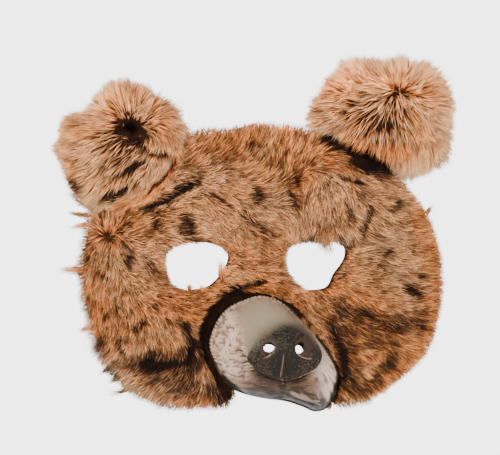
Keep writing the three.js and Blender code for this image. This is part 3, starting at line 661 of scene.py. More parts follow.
@dataclass(frozen=True)
class HairFinish(Finish):
    """Hair that changes from root to tip, and from pale to orange to dark over the mask.

    The attribute hair holds the share from root to tip, the darkness of the mark or painted shade, a number
    for the strand and the warmth. The near black roots are partly the hair's own and partly painted shade.

    Args:
        pale: Stops of the pale hair from root to tip.
        warm: Stops of the orange hair.
        dark: Stops of the hair in the dark marks and in the painted shade.
    """

    roughness: float = 0.62
    specular: float = 0.12
    # Near black root stops: partly the hair's own darker roots, partly painted shade deep in the pile.
    pale: tuple[tuple[float, Colour], ...] = (
        (0.0, (0.05, 0.014, 0.005)), (0.45, (0.37, 0.126, 0.038)), (1.0, (1.0, 0.61, 0.31)),
    )
    warm: tuple[tuple[float, Colour], ...] = (
        (0.0, (0.05, 0.011, 0.003)), (0.45, (0.39, 0.094, 0.016)), (1.0, (0.98, 0.40, 0.115)),
    )
    dark: tuple[tuple[float, Colour], ...] = (
        (0.0, (0.004, 0.001, 0.001)), (0.5, (0.008, 0.0025, 0.0012)), (1.0, (0.022, 0.0065, 0.003)),
    )

    def material(self) -> bpy.types.Material:
        """Builds the material.

        Returns:
            The material.
        """
        material, bench, shader = self.start()
        hair = bench.add("ShaderNodeAttribute", attribute_name="hair")
        parts = bench.add("ShaderNodeSeparateColor")
        bench.join(hair.outputs["Color"], parts.inputs["Color"])
        along, mark, strand = (parts.outputs[name] for name in ("Red", "Green", "Blue"))
        bright = bench.mix(hair.outputs["Alpha"], bench.ramp(along, self.pale), bench.ramp(along, self.warm))
        colour = bench.mix(mark, bright, bench.ramp(along, self.dark))
        tone = bench.add("ShaderNodeHueSaturation")
        bench.join(bench.spread(strand, 0.2, 1.65), tone.inputs["Value"])
        bench.join(colour, tone.inputs["Color"])
        bench.join(tone.outputs["Color"], shader.inputs["Base Color"])
        bench.join(bench.spread(strand, 0.5, 0.75), shader.inputs["Roughness"])
        return material


@dataclass(frozen=True)
class SkinFinish(Finish):
    """The cloth that the hair grows from: brown, darkened to near black as painted shade, blotched and matt.

    Args:
        deep: Darkest colour.
        light: Lightest colour.
    """

    roughness: float = 0.95
    specular: float = 0.1
    # Both colours are darkened past the cloth's own brown: painted shade between the hairs and in the ears'
    # hollows.
    deep: Colour = (0.008, 0.003, 0.0015)
    light: Colour = (0.034, 0.011, 0.005)

    def material(self) -> bpy.types.Material:
        """Builds the material.

        Returns:
            The material.
        """
        material, bench, shader = self.start()
        blotches = self.mottle(bench, 160.0)
        bench.join(bench.ramp(blotches, ((0.0, self.deep), (1.0, self.light))), shader.inputs["Base Color"])
        self.bump(bench, shader, self.mottle(bench, 1400.0), 0.4 * MM, 0.7)
        return material


@dataclass(frozen=True)
class FeltFinish(Finish):
    """Pale knitted felt: fine crossing ribs, a little fuzz, faint stains and painted shade between the ribs.

    Args:
        clean: Colour of the clean cloth.
        wear_and_painted_light: Colour of its stains, and of the painted shade between the ribs.
        rib: Size of one rib.
    """

    roughness: float = 0.95
    specular: float = 0.12
    sheen: float = 0.2
    clean: Colour = (0.78, 0.70, 0.60)
    wear_and_painted_light: Colour = (0.52, 0.42, 0.33)
    rib: float = 1.1 * MM

    def material(self) -> bpy.types.Material:
        """Builds the material.

        Returns:
            The material.
        """
        material, bench, shader = self.start()
        place = bench.add("ShaderNodeTexCoord")
        heights = []
        for direction in ("X", "Z"):
            wave = bench.add("ShaderNodeTexWave", bands_direction=direction)
            wave.inputs["Scale"].default_value = 1.0 / (self.rib * 20.0) * math.pi
            wave.inputs["Distortion"].default_value = 1.2
            wave.inputs["Detail Scale"].default_value = 2.0
            bench.join(place.outputs["Object"], wave.inputs["Vector"])
            heights.append(wave.outputs["Fac"])
        weave = bench.maths("MULTIPLY", heights[0], heights[1])
        stains = self.mottle(bench, 38.0)
        cloth = bench.ramp(stains, ((0.25, self.wear_and_painted_light), (0.62, self.clean)))
        # The valleys between the ribs take the stain colour: painted shade.
        shade = bench.mix(bench.spread(weave, 0.35, 0.0), cloth, self.wear_and_painted_light)
        bench.join(shade, shader.inputs["Base Color"])
        fuzz = self.mottle(bench, 900.0)
        self.bump(bench, shader, bench.maths("ADD", weave, bench.maths("MULTIPLY", fuzz, 0.6)), 0.4 * MM, 0.6)
        return material


@dataclass(frozen=True)
class VinylFinish(Finish):
    """Sprayed soft vinyl: bare beige, grey on the bridge, near black on the nose pad and the lips.

    The attribute spray holds the strength of the grey, the dark, the brown and the pink spray, where the dark
    and brown also stand for painted shadow under the pad, and the attribute relief the depth of the creases,
    where patina and painted shade go, the shine, and the pale marks, which are painted highlights and paler
    raised tops.

    Args:
        bare: Colour of the vinyl itself.
        grey: Colour of the bridge.
        dark: Colour of the nose pad.
        brown: Colour of the brown spray below the pad, which also stands for painted shadow under its
            overhang.
        pink: Colour of the right cheek.
        crease_patina_and_shade: Colour of the creases, pits and nostrils: patina in the pits and wrinkles,
            painted shade in the nostrils, under the pad's edge and round the sewn rim.
        wear_and_painted_light: Colour of the painted highlights and of the paler raised folds and grain tops.
    """

    roughness: float = 0.5
    specular: float = 0.09
    bare: Colour = (0.27, 0.162, 0.092)
    grey: Colour = (0.175, 0.135, 0.086)
    dark: Colour = (0.007, 0.0052, 0.0035)
    brown: Colour = (0.060, 0.030, 0.016)
    pink: Colour = (0.82, 0.58, 0.46)
    crease_patina_and_shade: Colour = (0.030, 0.016, 0.010)
    wear_and_painted_light: Colour = (0.46, 0.33, 0.23)

    def material(self) -> bpy.types.Material:
        """Builds the material.

        Returns:
            The material.
        """
        material, bench, shader = self.start()
        spray = bench.add("ShaderNodeAttribute", attribute_name="spray")
        relief = bench.add("ShaderNodeAttribute", attribute_name="relief")
        coats = bench.add("ShaderNodeSeparateColor")
        marks = bench.add("ShaderNodeSeparateColor")
        bench.join(spray.outputs["Color"], coats.inputs["Color"])
        bench.join(relief.outputs["Color"], marks.inputs["Color"])
        blotch = bench.spread(self.mottle(bench, 130.0, 4.0), 0.75, 1.15)
        fine = bench.spread(self.mottle(bench, 900.0), 0.9, 1.4)
        coat = bench.mix(spray.outputs["Alpha"], self.bare, self.pink)
        for channel, colour, breaks in (("Red", self.grey, blotch), ("Blue", self.brown, blotch),
                                        ("Green", self.dark, fine)):
            strength = bench.maths("MULTIPLY", coats.outputs[channel], breaks, clamp=True)
            coat = bench.mix(strength, coat, colour)
        # Crease colour: patina in pits and wrinkles, painted shade in the nostrils, under the pad and along
        # the rim.
        coat = bench.mix(marks.outputs["Red"], coat, self.crease_patina_and_shade)
        # Pale colour: painted highlights along the drawn lines, and paler raised folds and grain tops.
        wear_and_painted_light = bench.maths("MULTIPLY", marks.outputs["Blue"], fine, clamp=True)
        coat = bench.mix(wear_and_painted_light, coat, self.wear_and_painted_light)
        bench.join(coat, shader.inputs["Base Color"])
        bench.join(bench.spread(marks.outputs["Green"], 0.62, 0.44), shader.inputs["Roughness"])
        pores = bench.maths("ADD", self.mottle(bench, 1500.0), self.mottle(bench, 420.0))
        self.bump(bench, shader, pores, 0.16 * MM, 0.5)
        return material


@dataclass(frozen=True)
class ThreadFinish(Finish):
    """Waxed sewing thread, twisted.

    Args:
        light: Colour of the strands.
        deep: Colour between them.
    """

    roughness: float = 0.7
    light: Colour = (0.62, 0.50, 0.38)
    deep: Colour = (0.22, 0.14, 0.09)

    def material(self) -> bpy.types.Material:
        """Builds the material.

        Returns:
            The material.
        """
        material, bench, shader = self.start()
        twist = self.mottle(bench, 1800.0)
        bench.join(bench.ramp(twist, ((0.2, self.deep), (0.7, self.light))), shader.inputs["Base Color"])
        self.bump(bench, shader, twist, 0.1 * MM, 0.5)
        return material


@dataclass(frozen=True)
class Mark:
    """A dark, warm or painted-shade patch in the fur: an ellipse in the photograph's pixels with a soft edge.

    Args:
        px: Column of its middle.
        py: Row of its middle.
        long: Half its length.
        wide: Half its width.
        turn: Degrees from the columns' way to its length, turning up.
        strength: How strong it is, from 0 to 1.
    """

    px: float
    py: float
    long: float
    wide: float
    turn: float
    strength: float

    def at(self, px: Array, py: Array) -> Array:
        """Strength at each place: the Gaussian of the distance in half lengths and half widths.

        Args:
            px: Columns in the photograph.
            py: Rows in the photograph.

        Returns:
            One strength for each place.
        """
        turn = math.radians(self.turn)
        dx, dy = px - self.px, self.py - py
        along = (dx * math.cos(turn) + dy * math.sin(turn)) / self.long
        across = (dy * math.cos(turn) - dx * math.sin(turn)) / self.wide
        return self.strength * np.exp(-(along**2 + across**2) * 0.8)


@dataclass(frozen=True)
class Stroke:
    """A soft line through a few places of the photograph: a fold, wrinkle, ridge, sprayed line or painted
    shadow.

    Args:
        path: Its places in pixels.
        width: Half its width in pixels.
        height: What it adds along its middle.
    """

    path: tuple[tuple[float, float], ...]
    width: float
    height: float = 1.0

    def at(self, px: Array, py: Array) -> Array:
        """Height at each place: the Gaussian of the distance from the line, less at its ends.

        Args:
            px: Columns in the photograph.
            py: Rows in the photograph.

        Returns:
            One height for each place.
        """
        points = np.array(self.path)
        span = np.diff(points, axis=0)
        long = np.linalg.norm(span, axis=1)
        before = np.cumsum(long) - long
        dx, dy = px[:, None] - points[:-1, 0], py[:, None] - points[:-1, 1]
        share = np.clip((dx * span[:, 0] + dy * span[:, 1]) / long**2, 0.0, 1.0)
        gone = np.hypot(dx - share * span[:, 0], dy - share * span[:, 1])
        near = gone.argmin(axis=1)
        row = np.arange(len(px))
        along = (before[near] + share[row, near] * long[near]) / long.sum()
        ends = smoothstep(np.minimum(along, 1.0 - along), 0.0, 0.2)
        return self.height * np.exp(-((gone[row, near] / self.width) ** 2)) * ends


@dataclass(frozen=True)
class Drawing:
    """Several marks and strokes together.

    Args:
        parts: The marks and strokes.
    """

    parts: tuple[Mark | Stroke, ...]

    def total(self, x: Array, z: Array) -> Array:
        """Sum of all heights at each place."""
        px, py = photo_place(x, z)
        return sum((part.at(px, py) for part in self.parts), np.zeros(len(px)))

    def cover(self, x: Array, z: Array) -> Array:
        """Joint strength at each place: one less the product of what each part leaves.

        Args:
            x: Places along X.
            z: Places along Z.

        Returns:
            One strength for each place.
        """
        px, py = photo_place(x, z)
        left = np.ones(len(px))
        for part in self.parts:
            left = left * (1.0 - np.clip(part.at(px, py), 0.0, 1.0))
        return 1.0 - left


# Dark patches of the fur with painted shadows: under both ears, along the folds and above the muzzle.
DARK_MARKS_AND_SHADOWS = Drawing((
    Stroke(((226, 292), (238, 287), (250, 284), (262, 281), (271, 279)), 2.8, 1.4),
    Mark(348, 352, 9, 30, 5, 0.8), Mark(374, 338, 24, 8, -20, 0.6), Mark(400, 320, 18, 7, -10, 0.75),
    Stroke(((360, 386), (378, 376), (396, 362)), 5.0, 0.75), Mark(352, 384, 10, 8, 0, 0.6),
    Stroke(((208, 171), (196, 183), (181, 193), (165, 202), (147, 209), (132, 213)), 8.5, 1.05),
    Stroke(((186, 208), (188, 222), (194, 240)), 8.0, 0.95),
    Stroke(((172, 224), (194, 240), (222, 240)), 4.0, 0.6),
    Stroke(((204, 186), (217, 198), (232, 208), (246, 220), (266, 234), (284, 242)), 2.6, 1.0),
    Mark(257, 195, 9, 6, 95, 1.2), Mark(158, 225, 8, 6, 30, 0.95), Mark(127, 228, 9, 4, 20, 0.75),
    Mark(186, 166, 4, 3, 30, 0.9), Mark(222, 162, 9, 3, 20, 0.8), Mark(253, 147, 9, 5, 60, 0.75),
    Stroke(((274, 172), (268, 156), (260, 142)), 5.0, 0.6),
    Stroke(((278, 172), (284, 158), (289, 147)), 3.0, 0.8),
    Stroke(((286, 182), (291, 198), (298, 212)), 4.0, 1.0), Mark(298, 180, 20, 7, 95, 0.55),
    Stroke(((243, 213), (262, 226), (281, 240)), 4.0, 0.6), Stroke(((296, 240), (317, 238)), 4.0, 0.8),
    Stroke(((338, 236), (344, 246), (356, 246)), 4.0, 0.9), Mark(330, 172, 12, 3, 145, 0.6),
    Stroke(((316, 128), (332, 139), (350, 149), (372, 158), (398, 165)), 10.0, 1.8),
    Stroke(((345, 158), (362, 167), (384, 172), (400, 171)), 5.0, 1.3),
    Stroke(((318, 165), (328, 171), (341, 177), (358, 181), (376, 186)), 2.6, 1.1),
    Stroke(((374, 204), (368, 218), (360, 240)), 2.8, 1.1),
    Stroke(((400, 198), (396, 207), (390, 216)), 3.2, 1.1), Mark(350, 214, 10, 5, 120, 0.75),
    Stroke(((378, 257), (385, 253), (392, 247)), 3.4, 1.0), Mark(381, 267, 6, 3, 130, 0.9),
    Mark(421, 277, 6, 4, 20, 1.0), Stroke(((400, 286), (412, 291), (426, 300)), 6.0, 1.1),
    Mark(341, 278, 7, 3, 40, 0.5), Mark(340, 304, 7, 4, 60, 0.6), Mark(300, 318, 9, 4, 125, 0.6),
    Stroke(((350, 306), (370, 316), (390, 326), (410, 334)), 7.0, 0.9),
    Stroke(((412, 314), (421, 332)), 4.0, 0.8),
    Stroke(((322, 310), (334, 330), (342, 350), (346, 372), (340, 394)), 7.0, 0.95),
    Mark(388, 362, 12, 6, 30, 0.95), Stroke(((425, 303), (424, 318), (419, 334)), 4.0, 0.8),
    Mark(352, 316, 20, 9, -20, 0.8), Mark(372, 345, 14, 6, 0, 0.6), Mark(362, 392, 12, 5, 20, 0.7),
    Mark(300, 205, 6, 12, 0, 0.4), Stroke(((356, 393), (372, 385), (386, 377)), 4.0, 0.7),
    Mark(357, 364, 9, 7, 0, 0.6), Mark(401, 347, 9, 3, 150, 0.5), Mark(162, 364, 32, 10, 8, 1.1),
    Stroke(((182, 316), (187, 329), (196, 344), (184, 356)), 5.5, 1.2), Mark(190, 358, 16, 10, 60, 0.9),
    Mark(148, 358, 16, 7, 20, 0.9), Mark(172, 377, 26, 7, 170, 0.8),
    Stroke(((132, 334), (141, 326), (148, 319)), 4.0, 1.1), Stroke(((149, 309), (160, 303)), 3.0, 0.9),
    Stroke(((118, 298), (140, 293), (158, 286)), 2.4, 0.8),
    Stroke(((94, 271), (101, 276), (111, 279)), 2.4, 1.0), Mark(85, 262, 6, 3, 60, 0.9),
    Mark(131, 259, 8, 5, 60, 1.0), Mark(152, 268, 9, 6, 95, 0.85), Mark(108, 319, 8, 3, 60, 0.7),
    Mark(100, 344, 10, 7, 60, 0.85), Stroke(((118, 337), (121, 346), (125, 356)), 3.0, 0.9),
    Mark(185, 391, 34, 9, 172, 0.55), Mark(222, 396, 13, 8, 120, 1.0), Mark(112, 374, 10, 4, 140, 0.7),
    Mark(82, 186, 8, 4, 30, 0.7), Mark(127, 245, 7, 3, 150, 0.7), Mark(240, 262, 12, 3, 30, 0.3),
))

WARM_MARKS = Drawing((
    Mark(262, 165, 42, 24, 0, 0.6), Mark(300, 262, 30, 14, 0, 0.3),
    Stroke(((404, 178), (424, 206), (438, 240), (441, 280), (436, 318), (420, 350), (388, 380),
            (352, 400)), 6.0, 1.8),
    Mark(120, 232, 40, 22, 20, 0.7), Mark(215, 145, 42, 12, 15, 0.95), Mark(270, 135, 60, 12, 0, 0.9),
    Mark(300, 175, 24, 20, 90, 0.75), Mark(335, 160, 36, 10, 155, 0.8), Mark(258, 250, 34, 18, 0, 0.75),
    Mark(272, 290, 34, 14, 165, 0.9), Mark(435, 275, 60, 16, 90, 1.0), Mark(425, 215, 30, 14, 60, 0.9),
    Mark(385, 345, 50, 30, 160, 0.85), Mark(350, 295, 40, 22, 0, 0.7), Mark(95, 300, 50, 14, 95, 0.7),
    Mark(160, 300, 34, 20, 0, 0.6), Mark(200, 300, 26, 22, 60, 0.9), Mark(120, 330, 26, 18, 60, 0.5),
    Mark(200, 405, 40, 10, 0, 0.6), Mark(340, 400, 30, 12, 20, 0.7), Mark(170, 345, 36, 22, 60, 0.35),
    Mark(150, 225, 40, 10, 15, 0.5),
))

PALE_MARKS = Drawing((
    Mark(322, 205, 26, 20, 60, 0.9), Mark(235, 200, 40, 20, 150, 0.5), Mark(230, 228, 40, 16, 150, 0.6),
    Mark(390, 235, 30, 26, 90, 0.5), Mark(370, 270, 26, 14, 0, 0.4), Mark(130, 285, 30, 12, 10, 0.6),
    Mark(355, 200, 30, 16, 10, 0.5), Mark(110, 255, 20, 14, 60, 0.3), Mark(180, 370, 30, 12, 40, 0.3),
    Mark(190, 155, 30, 8, 25, 0.3), Mark(400, 300, 36, 12, 0, 0.3),
))


@dataclass(frozen=True)
class Comb:
    """The way the hair is combed, blended from listed strokes.

    Args:
        strokes: Rows of px, py and the turn in degrees from +X towards +Z.
        reach: Distance over which a stroke counts, in pixels.
    """

    strokes: tuple[tuple[float, float, float], ...]
    reach: float = 26.0

    def at(self, x: Array, z: Array) -> Array:
        """Mean of the strokes' directions, weighed by their nearness, short where they differ.

        Args:
            x: Places along X.
            z: Places along Z.

        Returns:
            Rows of X and Z.
        """
        px, py = photo_place(x, z)
        flow, total = np.zeros((len(x), 2)), np.zeros((len(x), 1))
        for stroke_px, stroke_py, turn in self.strokes:
            weight = np.exp(-((px - stroke_px) ** 2 + (py - stroke_py) ** 2) / (2 * self.reach**2)) + 1e-9
            flow += weight[:, None] * np.array([math.cos(math.radians(turn)), math.sin(math.radians(turn))])
            total += weight[:, None]
        return flow / total


def tousle(places: Array, cell: float, seed: int) -> Array:
    """Noise vectors in X and Z that turn the hair here and there."""
    across, up = (lattice_noise(places, cell, seed + step) for step in (21, 22))
    return on_plane(across, up)


FACE_COMB = Comb((
    (84, 222, 140), (92, 205, 120), (106, 214, 75), (100, 228, 110), (97, 244, 268), (88, 254, 258),
    (125, 222, 30), (112, 250, 305), (128, 248, 335), (130, 272, 315), (112, 285, 295), (150, 285, 340),
    (90, 272, 215), (88, 300, 290), (100, 305, 300), (175, 305, 345), (200, 300, 0), (150, 235, 355),
    (160, 255, 340), (170, 218, 10), (90, 325, 250), (104, 335, 240), (120, 335, 272), (140, 330, 290),
    (110, 360, 232), (130, 380, 225), (150, 350, 250), (175, 335, 300), (165, 375, 205), (190, 395, 200),
    (205, 365, 285), (150, 400, 215), (215, 395, 280), (180, 160, 28), (200, 150, 30), (215, 175, 10),
    (195, 190, 335), (205, 215, 340), (185, 235, 350), (225, 145, 45), (240, 165, 30), (250, 135, 75),
    (275, 135, 90), (300, 138, 85), (260, 160, 60), (240, 190, 345), (225, 222, 325), (240, 205, 320),
    (260, 215, 315), (262, 190, 20), (278, 165, 85), (295, 165, 82), (282, 190, 60), (305, 150, 60),
    (240, 240, 330), (255, 250, 335), (278, 232, 310), (270, 270, 350), (235, 285, 350), (225, 268, 345),
    (290, 295, 335), (300, 195, 275), (312, 180, 268), (308, 215, 265), (322, 150, 20), (340, 160, 350),
    (375, 178, 345), (330, 185, 262), (322, 205, 255), (320, 225, 255), (345, 195, 285), (350, 225, 290),
    (365, 240, 320), (370, 210, 320), (395, 205, 340), (410, 230, 350), (390, 245, 350), (360, 265, 10),
    (350, 285, 355), (380, 280, 0), (415, 265, 5), (438, 270, 0), (430, 300, 350), (400, 305, 345),
    (370, 310, 335), (340, 310, 330), (330, 330, 315), (350, 340, 335), (390, 335, 345), (425, 330, 340),
    (405, 360, 340), (370, 365, 335), (345, 370, 310), (350, 395, 290), (375, 390, 320), (425, 215, 30),
    (436, 240, 15),
), reach=15.0)


class Region(Enum):
    """The pieces that the face's hair is cut into, by their stretch of the photograph's columns."""

    LEFT = ("fur_left_cheek", 0.0, 178.0)
    MIDDLE = ("fur_brow_and_bridge", 178.0, 330.0)
    RIGHT = ("fur_right_cheek", 330.0, 500.0)


@dataclass(frozen=True)
class Coat:
    """How hair of one kind lies.

    Args:
        width: Thickness of a hair where it is thickest.
        rise: Lowest and highest angle in degrees at which a hair leaves the cloth.
        stray: How much the hairs' directions differ.
        clump: Size of the tufts that the tips gather in.
        gather: How far the tips of a tuft move together, from 0 to 1.
        lock: Size of the larger locks.
        lock_gather: How far the tips of a lock move together.
        tone: How much lighter than usual it is.
    """

    width: float = 0.34 * MM
    rise: tuple[float, float] = (20.0, 52.0)
    stray: float = 0.2
    clump: float = 1.7 * MM
    gather: float = 0.34
    lock: float = 5.5 * MM
    lock_gather: float = 0.2
    tone: float = 0.0


@dataclass(frozen=True)
class Strands:
    """Hairs to be grown: where they root and how each lies.

    Args:
        roots: Root of each hair.
        normals: The cloth's outward normals there.
        flows: Directions along the cloth that the hairs are combed in.
        lengths: Length of each hair.
        marks: Darkness of each.
        warmth: Warmth of each.
        coat: How the hair lies.
        seed: Chooses the random numbers.
        tufts: Number of the tuft that each hair belongs to, where that isn't left to the coat.
    """

    roots: Array
    normals: Array
    flows: Array
    lengths: Array
    marks: Array
    warmth: Array
    coat: Coat
    seed: int
    tufts: Array | None = None

    def cells(self, size: float) -> Array:
        """Numbers the cells of a lattice of one size, bent by noise so that their edges are uneven.

        Args:
            size: Size of a cell.

        Returns:
            The number of each hair's cell.
        """
        bend = [lattice_noise(self.roots, 2.2 * size, self.seed + step) for step in (11, 12, 13)]
        cells = np.floor((self.roots + 0.6 * size * np.stack(bend, axis=1)) / size).astype(np.int64)
        return np.unique(cells, axis=0, return_inverse=True)[1].reshape(-1)

    def gathered(self, tips: Array, tuft: Array, gather: float, seed: int) -> Array:
        """How far each tip moves towards the middle of the tips of its own tuft.

        Args:
            tips: Places of the tips.
            tuft: Number of each hair's tuft.
            gather: Share of the way to the middle.
            seed: Chooses the random numbers.

        Returns:
            One shift for each tip.
        """
        count = np.bincount(tuft)
        middle = np.stack([np.bincount(tuft, tips[:, axis]) / count for axis in range(3)], axis=1)
        reach = np.random.default_rng(seed).uniform(0.3, 1.0, len(count)) * gather
        return (middle[tuft] - tips) * reach[tuft, None]

    def grow(self, name: str) -> bpy.types.Object:
        """Builds the mesh: each hair is a closed spindle with a bend.

        The hair leaves the cloth at its rise, goes 0.4 of its length, and then lies flatter to its tip.
        Five vertices a hair: the root, a triangle at the bend and the tip.

        Args:
            name: Name of the piece.

        Returns:
            The hair as one object, with the attribute hair and a map in which each hair has a cell of its
            own.
        """
        rng = np.random.default_rng(self.seed)
        count = len(self.roots)
        flow = unit(self.flows + rng.normal(0.0, self.coat.stray, (count, 3)))
        flow = unit(flow - np.minimum((flow * self.normals).sum(axis=1, keepdims=True), 0.0) * self.normals)
        side = unit(np.cross(flow, self.normals))
        rise = np.radians(rng.uniform(*self.coat.rise, count))[:, None]
        length = self.lengths[:, None]
        bend = self.roots + 0.4 * length * (flow * np.cos(rise) + self.normals * np.sin(rise))
        tip = bend + 0.6 * length * (flow * np.cos(0.3 * rise) + self.normals * np.sin(0.3 * rise))
        small = self.cells(self.coat.clump) if self.tufts is None else self.tufts
        pull = self.gathered(tip, small, self.coat.gather, self.seed + 5)
        if self.tufts is None:
            pull += self.gathered(tip, self.cells(self.coat.lock), self.coat.lock_gather, self.seed + 6)
        pull -= 0.7 * (pull * flow).sum(axis=1, keepdims=True) * flow
        bend = bend + 0.3 * pull
        tip = tip + pull
        half = 0.5 * self.coat.width * rng.uniform(0.65, 1.25, count)[:, None]
        profile = ((1, -0.4), (0, 0.9), (-1, -0.4))
        ring = [bend + half * (across * side + up * self.normals) for across, up in profile]
        root = self.roots - 0.5 * MM * self.normals
        places = np.stack([root, *ring, tip], axis=1).reshape(-1, 3)
        corners = np.array([(0, 1, 2), (0, 2, 3), (0, 3, 1), (4, 2, 1), (4, 3, 2), (4, 1, 3)])
        faces = (5 * np.arange(count)[:, None, None] + corners).reshape(-1, 3)
        piece = make_object(name, places, faces)
        tone = np.random.default_rng(self.seed + 8).uniform(-0.36, 0.36, small.max() + 1)[small]
        tone += self.coat.tone + 0.25 * lattice_noise(self.roots, 8 * MM, self.seed + 9)
        strand = np.clip(rng.uniform(-0.1, 1.1, count) * 0.6 + 0.2 + tone, 0.0, 1.0)
        along = np.tile(np.array([0.0, 0.4, 0.4, 0.4, 1.0]), count)
        carried = (np.repeat(v, 5) for v in (self.marks, strand, self.warmth))
        paint(piece, "hair", np.stack([along, *carried], axis=1))
        self.lay_map(piece, count)
        return piece

    @staticmethod
    def lay_map(piece: bpy.types.Object, count: int) -> None:
        """Gives each hair a cell of a square map: its three sides beside each other, the root below.

        Args:
            piece: The piece.
            count: Number of hairs.
        """
        columns = math.ceil(math.sqrt(count))
        left = np.array([0.08, 0.36, 0.64])
        right = left + 0.28
        middle = (left + right) / 2
        lower = [((m, 0.05), (a, 0.42), (b, 0.42)) for m, a, b in zip(middle, left, right)]
        upper = [((m, 0.95), (b, 0.42), (a, 0.42)) for m, a, b in zip(middle, left, right)]
        cell = np.array(lower + upper).reshape(-1, 2)
        number = np.arange(count)
        corner = np.stack([number % columns, number // columns], axis=1)
        layer = piece.data.uv_layers.new(name="OFBake", do_init=False)
        places = (corner[:, None] + cell) / columns
        layer.uv.foreach_set("vector", places.astype(np.float32).ravel())


def scatter_points(low: tuple[float, float], high: tuple[float, float], spacing: float, seed: int) -> Array:
    """Places over a rectangle: the nodes of a square lattice, each moved at random within its cell.

    Args:
        low: Least X and Z.
        high: Greatest X and Z.
        spacing: Distance between two nodes.
        seed: Chooses the random numbers.

    Returns:
        Columns X and Z.
    """
    rng = np.random.default_rng(seed)
    across = np.arange(low[0], high[0], spacing)
    up = np.arange(low[1], high[1], spacing)
    grid = np.stack(np.meshgrid(across, up), axis=-1).reshape(-1, 2)
    return grid + rng.uniform(0.0, spacing, grid.shape)


@dataclass(frozen=True)
class Wisp:
    """A single pointed tuft that stands out from the rest.

    Args:
        px: Column of its root.
        py: Row of its root.
        turn: Its way in degrees from +X towards +Z.
        length: Its length in pixels.
        hairs: How many hairs it has.
        spread: How far its roots spread, in pixels.
        mark: Darkness of its hairs.
    """

    px: float
    py: float
    turn: float
    length: float
    hairs: int = 110
    spread: float = 3.2
    mark: float = 0.05

    def nearness(self, px: Array, py: Array) -> Array:
        """Gaussian of the distance from its root, of the width that its roots spread."""
        return np.exp(-((px - self.px) ** 2 + (py - self.py) ** 2) / (2 * self.spread**2))


WISPS = (
    Wisp(85, 271, 181, 30, 90, 4.6), Wisp(84, 197, 170, 22, 60), Wisp(86, 207, 150, 22, 60),
    Wisp(86, 216, 172, 22, 70), Wisp(88, 224, 196, 22, 60), Wisp(82, 189, 150, 16, 50, mark=0.6),
    Wisp(84, 292, 235, 14, 40), Wisp(86, 330, 200, 11, 40), Wisp(97, 350, 215, 12, 40),
    Wisp(108, 369, 215, 14, 40, mark=0.5), Wisp(118, 378, 210, 14, 40, mark=0.5),
    Wisp(130, 392, 188, 24, 60, 2.0), Wisp(176, 402, 300, 13, 40), Wisp(188, 403, 300, 10, 30),
    Wisp(212, 137, 60, 9, 40), Wisp(236, 132, 20, 15, 60), Wisp(248, 130, 30, 13, 60),
    Wisp(263, 130, 60, 9, 40), Wisp(286, 131, 80, 8, 40), Wisp(430, 214, 60, 12, 50),
    Wisp(436, 320, 0, 8, 40), Wisp(380, 392, 340, 10, 40), Wisp(320, 224, 283, 32, 260, 6.0),
    Wisp(330, 224, 262, 22, 150, 4.0), Wisp(308, 228, 258, 14, 60, 4.0),
    Wisp(223, 282, 95, 22, 110, 3.4), Wisp(229, 276, 110, 14, 60), Wisp(201, 293, 80, 9, 50),
    Wisp(190, 291, 105, 8, 40), Wisp(303, 316, 290, 14, 60, 3.0), Wisp(311, 326, 300, 12, 60, 3.0),
    Wisp(247, 283, 320, 11, 60, 4.0), Wisp(332, 405, 250, 9, 50, 3.0),
)
FOLDS = Drawing((
    Stroke(((134, 212), (152, 206), (170, 200), (188, 189), (208, 174)), 7.0, -4.6 * MM),
    Stroke(((150, 219), (176, 208), (204, 190)), 6.0, 2.2 * MM),
    Stroke(((312, 150), (336, 158), (362, 169), (392, 177)), 6.0, 3.2 * MM),
    Stroke(((206, 188), (226, 201), (244, 216), (262, 229), (284, 244)), 4.0, -2.2 * MM),
    Stroke(((226, 190), (240, 200), (256, 213)), 8.0, 2.0 * MM),
    Stroke(((310, 160), (320, 167), (341, 178), (376, 187)), 3.6, -3.0 * MM),
    Stroke(((318, 128), (344, 144), (372, 156), (398, 164)), 7.0, -4.0 * MM),
    Stroke(((284, 184), (290, 199), (296, 216)), 3.5, -1.8 * MM),
    Stroke(((288, 148), (278, 168)), 3.5, -1.5 * MM), Stroke(((143, 320), (134, 334)), 4.0, -2.4 * MM),
    Stroke(((183, 320), (195, 345)), 5.0, -2.4 * MM), Stroke(((137, 360), (163, 377)), 5.0, -2.2 * MM),
    Stroke(((406, 288), (424, 297)), 3.5, -1.5 * MM), Stroke(((371, 206), (359, 241)), 3.0, -1.4 * MM),
    Mark(162, 362, 30, 12, 8, -1.6 * MM), Stroke(((361, 313), (388, 326)), 4.0, -1.8 * MM),
    Mark(322, 205, 22, 18, 60, 3.4 * MM), Mark(386, 344, 34, 24, 160, 2.6 * MM),
    Mark(170, 300, 34, 18, 10, 2.4 * MM), Mark(120, 300, 26, 34, 0, 1.6 * MM),
    Mark(96, 226, 12, 14, 0, 2.2 * MM), Mark(258, 196, 8, 7, 0, -1.6 * MM),
    Mark(192, 226, 13, 11, 0, -1.2 * MM),
))
# The fur's edge turns in round the muzzle here; its hair is short and painted near black as shade in the gap.
TURNED_IN = (
    photo_outline(
        (232, 400), (220, 392), (212, 377), (204, 362), (200, 345), (200, 326), (206, 312), (215, 301),
        (227, 293), (237, 289), (247, 290), (256, 291), (259, 294), (254, 302), (240, 320), (230, 350),
    ),
    photo_outline((280, 300), (290, 302), (299, 309), (307, 319), (314, 330), (306, 332), (292, 318)),
)


